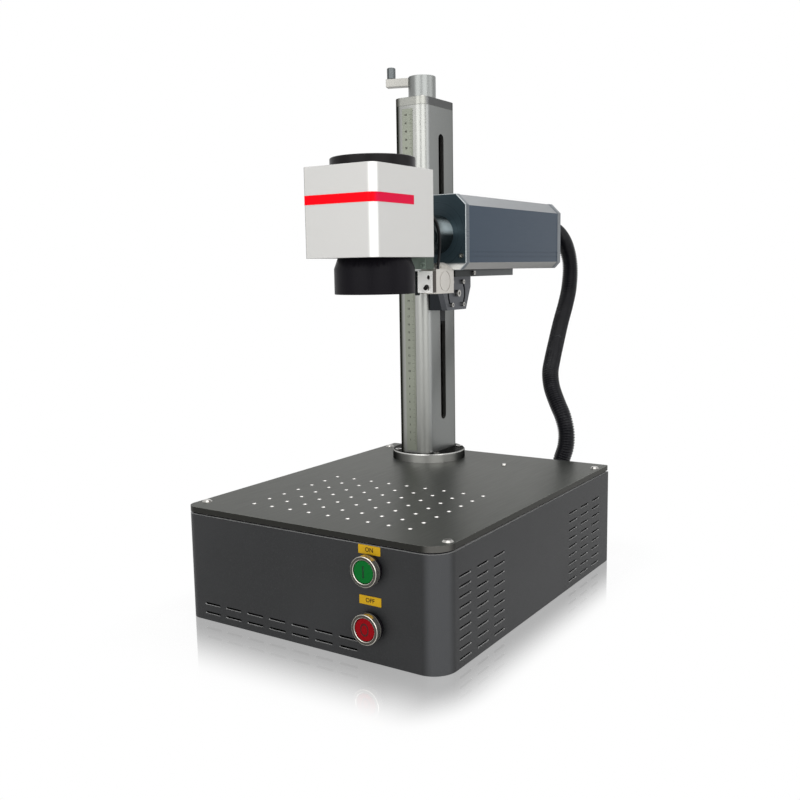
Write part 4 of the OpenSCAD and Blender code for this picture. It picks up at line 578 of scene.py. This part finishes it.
# painted shade: the mount and the pointer's barrel are darker in front of 0.10 to 0.12 m along Y
depth = dark_metal.axes(dark_metal.place)[1]
dark_metal.paint(dark_metal.step(depth, 0.1, 0.12), (0.008, 0.0105, 0.0105), (0.055, 0.06, 0.062))
print("tube shades ready")

# %% [markdown]
# ## Paint, plastic, rubber and glass
# The scan head's cover has a smooth light paint with a clear gloss, with a painted highlight on its rounded
# front-right corner and painted shade along its lower edges and its front-left and rear-right corners. The
# red stripe has painted shade on its right side. Plastics get a faint moulded texture and small changes of
# roughness, so that no surface is one flat colour.

# %% Paint and plastics
def moulded(name, color, roughness, gloss=0.5, grain=1200, depth=0.00006, coat=0.0):
    """Moulded or painted surface with a fine texture and slight wear."""
    skin = Finish(name, color, roughness, Specular_IOR_Level=gloss, Coat_Weight=coat, Coat_Roughness=0.12)
    fine, cloud = skin.noise(grain, 2), skin.noise(25, 3)
    skin.paint(skin.step(cloud, 0.35, 0.75), color, tint(color, 0.93))
    skin.set("Roughness", roughness - 0.05 + 0.1 * fine)
    skin.relief(fine, depth, 0.4)
    return skin


head_paint = moulded("head_light_grey_paint", (0.58, 0.575, 0.56), 0.32, 0.4, 900, 0.00003, 0.15)
nx, ny, nz = head_paint.axes(head_paint.facing)
# painted highlight on the front-right corner, painted shade on the lower edges and the front-left and
# rear-right corners
shade = head_paint.mix(head_paint.step(nx * ny, -0.12, -0.4), (0.51, 0.505, 0.49), (0.8, 0.795, 0.78))
underside = head_paint.step(nz, -0.15, -0.4) * head_paint.step(nz, -0.99, -0.93)
outline = underside.at_least(head_paint.step(nx * ny, 0.1, 0.35))
head_paint.paint(outline, shade, (0.2, 0.2, 0.19))
stripe_red = moulded("stripe_gloss_red", (0.84, 0.0025, 0.01), 0.35, 0.04)
nx = stripe_red.axes(stripe_red.facing)[0]
# painted shade on the stripe's right side
stripe_red.paint(stripe_red.step(nx, 0.7, 0.98), (0.82, 0.0015, 0.008), (0.6, 0.008, 0.045))
cap_green = moulded("cap_gloss_green", (0.0015, 0.105, 0.016), 0.3, 0.05)
cap_red = moulded("cap_gloss_red", (0.22, 0.001, 0.004), 0.3, 0.05)
tag_yellow = moulded("tag_yellow", (0.48, 0.285, 0.01), 0.45, 0.08)
mark_dark = moulded("marks_dark", (0.016, 0.012, 0.009), 0.5, 0.05)
mark_green = moulded("mark_dark_green", (0.001, 0.03, 0.008), 0.4, 0.15)
mark_red = moulded("mark_dark_red", (0.06, 0.001, 0.002), 0.4, 0.15)
lens_black = moulded("lens_satin_black", (0.0062, 0.0056, 0.0075), 0.38, 0.05, 1600)
dust_black = moulded("dust_cap_black", (0.009, 0.008, 0.0085), 0.34, 0.08)
black_plastic = moulded("black_plastic", (0.008, 0.008, 0.009), 0.4, 0.15)
seal_rubber = moulded("seal_rubber", (0.004, 0.004, 0.005), 0.7, 0.15)
board_green = moulded("board_green", (0.02, 0.12, 0.05), 0.35)
guide_grey = moulded("guide_grey_plastic", (0.012, 0.014, 0.016), 0.5, 0.2)
source_grey = moulded("source_grey", (0.2, 0.21, 0.22), 0.4, 0.3)
strip_pale = drawn_metal("scale_pale_metal", (0.245, 0.26, 0.215), 0.38, (1, 1, 0.05), 0.7)
glass = Finish("lens_coated_glass", (0.35, 0.4, 0.62), 0.03, Transmission_Weight=0.85, IOR=1.5,
    Coat_Weight=1.0)
glass.set("Roughness", 0.02 + 0.03 * glass.noise(60, 2))
mirror = Finish("scan_mirror", (0.9, 0.91, 0.93), 0.03, 1.0)
mirror.set("Roughness", 0.02 + 0.03 * mirror.noise(80, 2))
print("paints ready")

# %% [markdown]
# ## Dress the nodes
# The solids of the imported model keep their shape. Each gets its finish, and the ones whose edges show get a
# small rounded edge from modifiers: doubles welded, flat triangles merged, then a bevel, then normals that
# keep the large faces flat.

# %% Finish for nodes
WELD_GAP, BEVEL_STEPS = 1e-6, 2
FLAT_ANGLE, SHARP_ANGLE = math.radians(1), math.radians(28)


def dress(finish, *nodes, edge=0.0):
    """Put a finish on nodes; edge is the width of their rounded edges in millimetres."""
    for name in nodes:
        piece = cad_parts[name]
        if not piece.material_slots:
            piece.data.materials.append(finish.material)
        for place in piece.material_slots:
            place.material = finish.material
        piece.data.polygons.foreach_set("use_smooth", [True] * len(piece.data.polygons))
        weld = piece.modifiers.new("weld", "WELD")
        weld.merge_threshold = WELD_GAP
        if edge:
            merge = piece.modifiers.new("merge", "DECIMATE")
            merge.decimate_type = "DISSOLVE"
            merge.angle_limit = FLAT_ANGLE
            bevel = piece.modifiers.new("edge", "BEVEL")
            bevel.width = edge * MM
            bevel.segments = BEVEL_STEPS
            bevel.limit_method = "ANGLE"
            bevel.angle_limit = SHARP_ANGLE
            bevel.harden_normals = False
            normals = piece.modifiers.new("normals", "WEIGHTED_NORMAL")
            normals.keep_sharp = True
        else:
            split = piece.modifiers.new("sharp", "EDGE_SPLIT")
            split.split_angle = SHARP_ANGLE


print("finishes can be put on")

# %% [markdown]
# ## Cabinet and buttons
# The screws and other bright small parts of the whole machine share one finish, so they come here as well.

# %% Cabinet, buttons and small parts
dress(powder, "cabinet_shell", "rear_panel", edge=0.35)
dress(plate_dark, "top_plate", edge=0.9)
dress(seal_rubber, "plate_seal")
dress(inner_steel, "bottom_pan", "power_supply")
dress(source_grey, "laser_source", "lower_bearing", "isolator", "galvo_mount")
dress(board_green, "control_board")
dress(black_plastic, "switch_blocks", "fan_frame", "fan_rotor", "power_inlet", "hose_elbow", "hose_gland")
dress(bright_steel, "plate_screws", "panel_screws", "column_screws", "pivot_screw", "rotary_screws",
    "tube_screws", "lead_screw", "signal_port")
dress(ring_steel, "button_rings", edge=1.4)
dress(cap_green, "green_cap", edge=0.8)
dress(cap_red, "red_cap", edge=0.8)
dress(tag_yellow, "button_tags")
print("cabinet dressed")

# %% [markdown]
# ## Column, crank and carriage
# The flange, the column and its strip keep their sharp edges, and most smaller pieces get a rounded one.

# %% Column, crank and carriage
dress(flange_silver, "column_flange")
dress(column_silver, "column")
dress(cap_silver, "column_cap", edge=0.5)
dress(strip_pale, "scale_strip")
dress(hub_silver, "crank_hub", edge=0.8)
dress(arm_silver, "crank_arm", edge=0.8)
dress(knob_steel, "crank_knob", edge=0.4)
dress(guide_grey, "lift_nut")
dress(block_metal, "carriage_block", edge=0.6)
dress(rotary_grey, "rotary_plate", edge=0.5)
print("column dressed")

# %% [markdown]
# ## Tube, locator and scan head
# The widest rounded edge here is that of the tube's front plate, which carries a painted highlight as a pale
# border.

# %% Tube, locator and scan head
dress(dark_metal, "tube_mount", edge=0.6)
dress(tube_blue, "tube_body")
dress(front_black, "tube_front_plate", edge=1.0)
dress(end_grey, "tube_rear_plate", edge=0.7)
dress(adapter_black, "beam_adapter", edge=0.5)
dress(bracket_grey, "locator_mount", edge=0.5)
dress(locator_silver, "locator_block", edge=0.5)
dress(clamp_silver, "pointer_clamp", edge=0.5)
dress(dark_metal, "pointer_barrel", edge=0.4)
dress(head_paint, "head_housing", edge=0.8)
dress(stripe_red, "red_stripe")
dress(black_metal, "head_base", "galvo_motors")
dress(mirror, "mirror_x", "mirror_y")
dress(lens_black, "lens_barrel", edge=0.5)
dress(glass, "lens_glass")
dress(dust_black, "lens_cap", edge=0.3)
print("tube and head dressed")

# %% [markdown]
# ## Marks on the scale
# The strip on the column is a plain scale, a line for each millimetre and a number for each centimetre. Thin
# raised boxes and text turned into meshes stay sharp at any distance, which a painted texture would not.

# %% Scale marks
# All in millimetres: how far a mark stands before its face and reaches into it, then the letters' depth and
# their extra weight as a share of their size, then the scale's ends, its lines (length and thickness at
# each 10, 5 and 1) and its numbers.
MARK_FRONT, MARK_BACK = 0.04, 0.02
LETTER_DEPTH, LETTER_WEIGHT = 0.03, 0.015
FACING_FRONT = Matrix.Rotation(math.pi / 2, 4, "X")
SCALE_ZERO, SCALE_END, LINE_INSET = 4, 425, 0.8
LINE_SIZES = {10: (4.2, 0.22), 5: (3.0, 0.18), 1: (1.8, 0.12)}
NUMBER_SIZE, NUMBER_INSET = 3.6, 9.6


def add_box(shape, low, high):
    """A closed box between two corners, in millimetres."""
    spots = [Vector((x, y, z)) * MM for x in (low[0], high[0]) for y in (low[1], high[1])
        for z in (low[2], high[2])]
    v = [shape.verts.new(p) for p in spots]
    for f in ((0, 1, 3, 2), (4, 6, 7, 5), (0, 4, 5, 1), (2, 3, 7, 6), (0, 2, 6, 4), (1, 5, 7, 3)):
        shape.faces.new([v[i] for i in f])


def add_words(shape, words, size, matrix):
    """Flat raised text, size millimetres tall, placed by a matrix."""
    curve = bpy.data.curves.new("words", "FONT")
    curve.body, curve.size, curve.extrude = words, size * MM, LETTER_DEPTH * MM
    curve.offset = LETTER_WEIGHT * size * MM
    curve.align_x, curve.align_y = "CENTER", "CENTER"
    writer = bpy.data.objects.new("words", curve)
    bpy.context.collection.objects.link(writer)
    mesh = bpy.data.meshes.new_from_object(writer.evaluated_get(bpy.context.evaluated_depsgraph_get()))
    mesh.transform(matrix)
    shape.from_mesh(mesh)
    bpy.data.objects.remove(writer)
    bpy.data.meshes.remove(mesh)


strip_low, strip_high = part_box("scale_strip")
strip_face = strip_low.y / MM
strip_right = strip_high.x / MM
strip_zero = strip_low.z / MM + SCALE_ZERO


def scale_lines(shape):
    edge = strip_right - LINE_INSET
    for mm in range(5, SCALE_END):
        z = strip_zero + mm
        length, thick = next(LINE_SIZES[step] for step in LINE_SIZES if mm % step == 0)
        add_box(shape, (edge - length, strip_face - MARK_FRONT, z - thick / 2),
            (edge, strip_face + MARK_BACK, z + thick / 2))


def scale_numbers(shape):
    for cm in range(1, SCALE_END // 10 + 1):
        spot = Vector((strip_right - NUMBER_INSET, strip_face - LETTER_DEPTH, strip_zero + 10 * cm)) * MM
        add_words(shape, str(cm), NUMBER_SIZE, Matrix.Translation(spot) @ FACING_FRONT)


new_mesh("scale_lines", scale_lines, mark_dark, "base")
new_mesh("scale_numbers", scale_numbers, mark_dark, "base")
print("scale marked")

# %% [markdown]
# ## Switch words and button signs
# The yellow tags say ON and OFF in plain letters. The green cap has an upright bar and the red one a ring,
# which is forty short wedges set round an oval. The signs ride with their caps.

# %% Switch words and button signs
TAG_INSET, TAG_LETTERS = 4.35, 6.0
BAR_HALF_WIDTH, BAR_HALF_HEIGHT = 0.9, 6
RING_PARTS, RING_INNER, RING_OUTER, RING_TALL = 40, 3.4, 4.9, 1.35
WEDGE_FACES = ((0, 1, 2, 3), (7, 6, 5, 4), (0, 4, 5, 1), (1, 5, 6, 2), (2, 6, 7, 3), (3, 7, 4, 0))


def words_on_tags(shape):
    low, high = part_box("button_tags")
    for words, z in (("ON", high.z - TAG_INSET * MM), ("OFF", low.z + TAG_INSET * MM)):
        place = Matrix.Translation((low.x / 2 + high.x / 2, low.y - LETTER_DEPTH * MM, z)) @ FACING_FRONT
        add_words(shape, words, TAG_LETTERS, place)


def bar_sign(shape, middle):
    """An upright bar over the middle of a cap's face, in millimetres."""
    add_box(shape, middle - Vector((BAR_HALF_WIDTH, MARK_FRONT, BAR_HALF_HEIGHT)),
        middle + Vector((BAR_HALF_WIDTH, MARK_BACK, BAR_HALF_HEIGHT)))


def ring_sign(shape, middle):
    """An oval ring round the middle of a cap's face, in millimetres."""
    turn = 360 / RING_PARTS
    for k in range(RING_PARTS):
        a, b = math.radians(turn * k), math.radians(turn * k + turn)
        around = ((RING_INNER, a), (RING_OUTER, a), (RING_OUTER, b), (RING_INNER, b))
        wedge = [middle + Vector((r * math.cos(t), y, RING_TALL * r * math.sin(t)))
            for y in (-MARK_FRONT, MARK_BACK) for r, t in around]
        v = [shape.verts.new(p * MM) for p in wedge]
        for f in WEDGE_FACES:
            shape.faces.new([v[i] for i in f])


new_mesh("tag_words", words_on_tags, mark_dark, "base")
for node, body, finish, sign in (("green_cap", "green_button", mark_green, bar_sign),
        ("red_cap", "red_button", mark_red, ring_sign)):
    low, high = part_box(node)
    middle = Vector(((low.x + high.x) / 2, low.y, (low.z + high.z) / 2)) / MM
    new_mesh(node + "_sign", lambda shape: sign(shape, middle), finish, body)
print("words and signs made")

# %% [markdown]
# ## Bare walls of the fixture holes
# Each hole of the work plate is drilled through the dark anodising, so its wall is bare metal and sparkles
# where it faces the lamps. Sixty-three small cones in one mesh do it, each with a thin lip on the plate.

# %% Walls of the holes
GRID_STEP, GRID_MIDDLE = 25, -88
GRID = [(x * GRID_STEP, GRID_MIDDLE + y * GRID_STEP) for x in range(-4, 5) for y in range(-3, 4)]
HOLE_PROFILE = [(1.9, -1.8), (2.48, -0.12), (2.56, 0.03), (2.66, -0.01)]
HOLE_SIDES = 20
rim_steel = drawn_metal("hole_bare_metal", (0.42, 0.41, 0.4), 0.2, (1, 1, 1), 1.0)
plate_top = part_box("top_plate")[1].z / MM


def rims(shape):
    """Rings of the profile's radii, at its heights over the plate, round each hole."""
    for x, y in GRID:
        join_rings(shape, [[
            shape.verts.new(Vector((x + r * math.cos(a), y + r * math.sin(a), plate_top + h)) * MM)
            for a in np.linspace(0, 2 * math.pi, HOLE_SIDES, endpoint=False)] for r, h in HOLE_PROFILE])


new_mesh("hole_rims", rims, rim_steel, "base")
print(len(GRID), "holes")

# %% [markdown]
# ## Painted shade behind the vents
# The vents look black: three thin black boxes behind them stand in for the shade inside the cabinet.

# %% Painted shade behind the vents
# black boxes behind the vents, standing in for the shade inside the cabinet
VENT_SHADE_BOXES = [((-158.9, -178, 6), (-158.3, 196, 110)), ((158.3, -178, 6), (158.9, 196, 110)),
    ((-146, -203.9, 5), (132, -203.3, 32))]


def filters(shape):
    for low, high in VENT_SHADE_BOXES:
        add_box(shape, low, high)


# painted shade: a black with no shine, so the vents look as dark as deep shade
vent_shade_finish = Finish("vent_shade_black", (0.002, 0.002, 0.002), 0.9, Specular_IOR_Level=0.0)
vent_shade_finish.relief(vent_shade_finish.noise(900, 3), 0.0004)
new_mesh("vent_painted_shade", filters, vent_shade_finish, "base")
print("filters laid")

# %% [markdown]
# ## The pointer's lead
# A thin black lead feeds the red pointer of the locator. It is a short round cable that leaves the block,
# climbs past the beam adapter and bows over into the rear wall of the scan head, so one smooth path with
# the tube helper makes it.

# %% Pointer lead
LEAD_MARKS = [Vector(p) * MM for p in [
    (21.1, 27, 372), (21.5, 27.4, 378), (22.2, 28, 386), (23.4, 27.7, 396), (24.5, 25.8, 405),
    (25.5, 22.6, 413), (26.6, 17.4, 420.5), (28, 10, 426.5), (29.3, 0, 429.8), (30.5, -18, 431)]]
LEAD_RADIUS = 1.7 * MM
LEAD_STEPS, LEAD_SIDES = 60, 12
lead_route = smooth_route(LEAD_MARKS, 0, len(LEAD_MARKS) - 1, 12)


def lead_shape(shape):
    spots, ways, _ = even(lead_route, LEAD_STEPS)
    lay_rings(shape, spots, ways, [LEAD_RADIUS] * len(spots), LEAD_SIDES)


lead = new_mesh("pointer_lead_cable", lead_shape, black_plastic, "optic")
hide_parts("pointer_lead")
even(lead_route, 1)[2]
print("lead", round(even(lead_route, 1)[2], 3), "m")

# %% [markdown]
# ## Floor and white room
# The photograph is a packshot on white. The floor is polished white, so the cabinet mirrors in it near its
# foot, and it keeps a soft shadow. Both fade out with the distance from the cabinet's outline, faster at its
# sides. The world is white for the eye and for reflections and weaker as a light.

# %% Floor
FLOOR_HALF, FLOOR_DROP = 6, 0.0002
HALF_WIDTH, HALF_DEPTH = 0.161, 0.206
SHADOW_SHARE, SHADOW_REACH = 0.22, 0.14
MIRROR_SHARE, MIRROR_NEAR, MIRROR_FAR = 0.57, 0.012, 0.105
SIDE_FADE = 3.2
WORLD_LIGHT = 0.35


def floor_shape(shape):
    corners = [shape.verts.new((x * FLOOR_HALF, y * FLOOR_HALF, -FLOOR_DROP))
        for x, y in ((-1, -1), (1, -1), (1, 1), (-1, 1))]
    shape.faces.new(corners)


def seen_rays(tree):
    """1 for rays from the camera, and 1 for those and for what mirrors and glass show."""
    rays = tree.nodes.new("ShaderNodeLightPath").outputs
    looked = Wire(tree, rays["Is Camera Ray"])
    seen = looked + Wire(tree, rays["Is Glossy Ray"]) + Wire(tree, rays["Is Transmission Ray"])
    return looked, seen.at_most(1.0)


floor_finish = Finish("floor_white", (0.86, 0.86, 0.86), 0.3)
ground = floor_finish.tree
looked, seen = seen_rays(ground)
x, y, _ = floor_finish.axes(floor_finish.place)
out_x = (abs(x) - HALF_WIDTH).at_least(0.0)
out_y = (abs(y) - HALF_DEPTH).at_least(0.0)
away = (SIDE_FADE * out_x * out_x + out_y * out_y) ** 0.5
shadow = SHADOW_SHARE * floor_finish.step(away, SHADOW_REACH, 0.0)
polish = MIRROR_SHARE * floor_finish.step(away, MIRROR_FAR, MIRROR_NEAR)
glow = floor_finish.node("ShaderNodeEmission", None, {"Color": 1.0, "Strength": 1.0})
gloss = floor_finish.node("ShaderNodeBsdfGlossy", None, {"Color": 1.0, "Roughness": 0.03})
white = floor_finish.node("ShaderNodeMixShader", None,
    {0: seen * (1 - shadow), 1: Wire(ground, floor_finish.skin.outputs[0]), 2: glow})
plug(ground, ground.nodes["Material Output"].inputs["Surface"],
    floor_finish.node("ShaderNodeMixShader", None, {0: looked * polish, 1: white, 2: gloss}))
floor = new_mesh("floor", floor_shape, floor_finish)

world = bpy.data.worlds.new("white_room")
bpy.context.scene.world = world
world.use_nodes = True
tree = world.node_tree
seen = seen_rays(tree)[1]
plug(tree, tree.nodes["Background"].inputs["Color"], (1.0, 1.0, 1.0))
plug(tree, tree.nodes["Background"].inputs["Strength"], WORLD_LIGHT + (1 - WORLD_LIGHT) * seen)
print("room ready")

# %% [markdown]
# ## Lamps
# Two wide softboxes stand in front, one to each side: they draw the bright line down every rounded corner
# that faces them, together with the highlights painted on the cabinet, the plate and the head. A large one
# hangs above, and two weak ones fill the right side and the back.

# %% Lamps
def softbox(name, place, target, size, watts):
    """A rectangular lamp at a place, turned to a target; size is in metres."""
    lamp = bpy.data.lights.new(name, "AREA")
    lamp.shape, lamp.size, lamp.size_y, lamp.energy = "RECTANGLE", size[0], size[1], watts
    piece = bpy.data.objects.new(name, lamp)
    piece.location = place
    piece.rotation_euler = (Vector(target) - Vector(place)).to_track_quat("-Z", "Y").to_euler()
    bpy.context.collection.objects.link(piece)


softbox("top", (0.1, -0.1, 1.9), (0, 0, 0.2), (1.6, 1.6), 16)
softbox("front_left", (-0.2, -2.2, 0.95), (0, 0, 0.35), (1.9, 1.5), 23)
softbox("front_right", (1.8, -1.25, 0.95), (0, 0, 0.35), (1.9, 1.5), 23)
softbox("right", (2.05, 0.75, 0.8), (0, 0, 0.3), (1.4, 1.4), 9)
softbox("back", (-0.7, 1.7, 1.8), (0, 0.1, 0.3), (1.2, 1.2), 7)
bpy.context.scene.view_settings.view_transform = "Standard"
print("lamps ready")
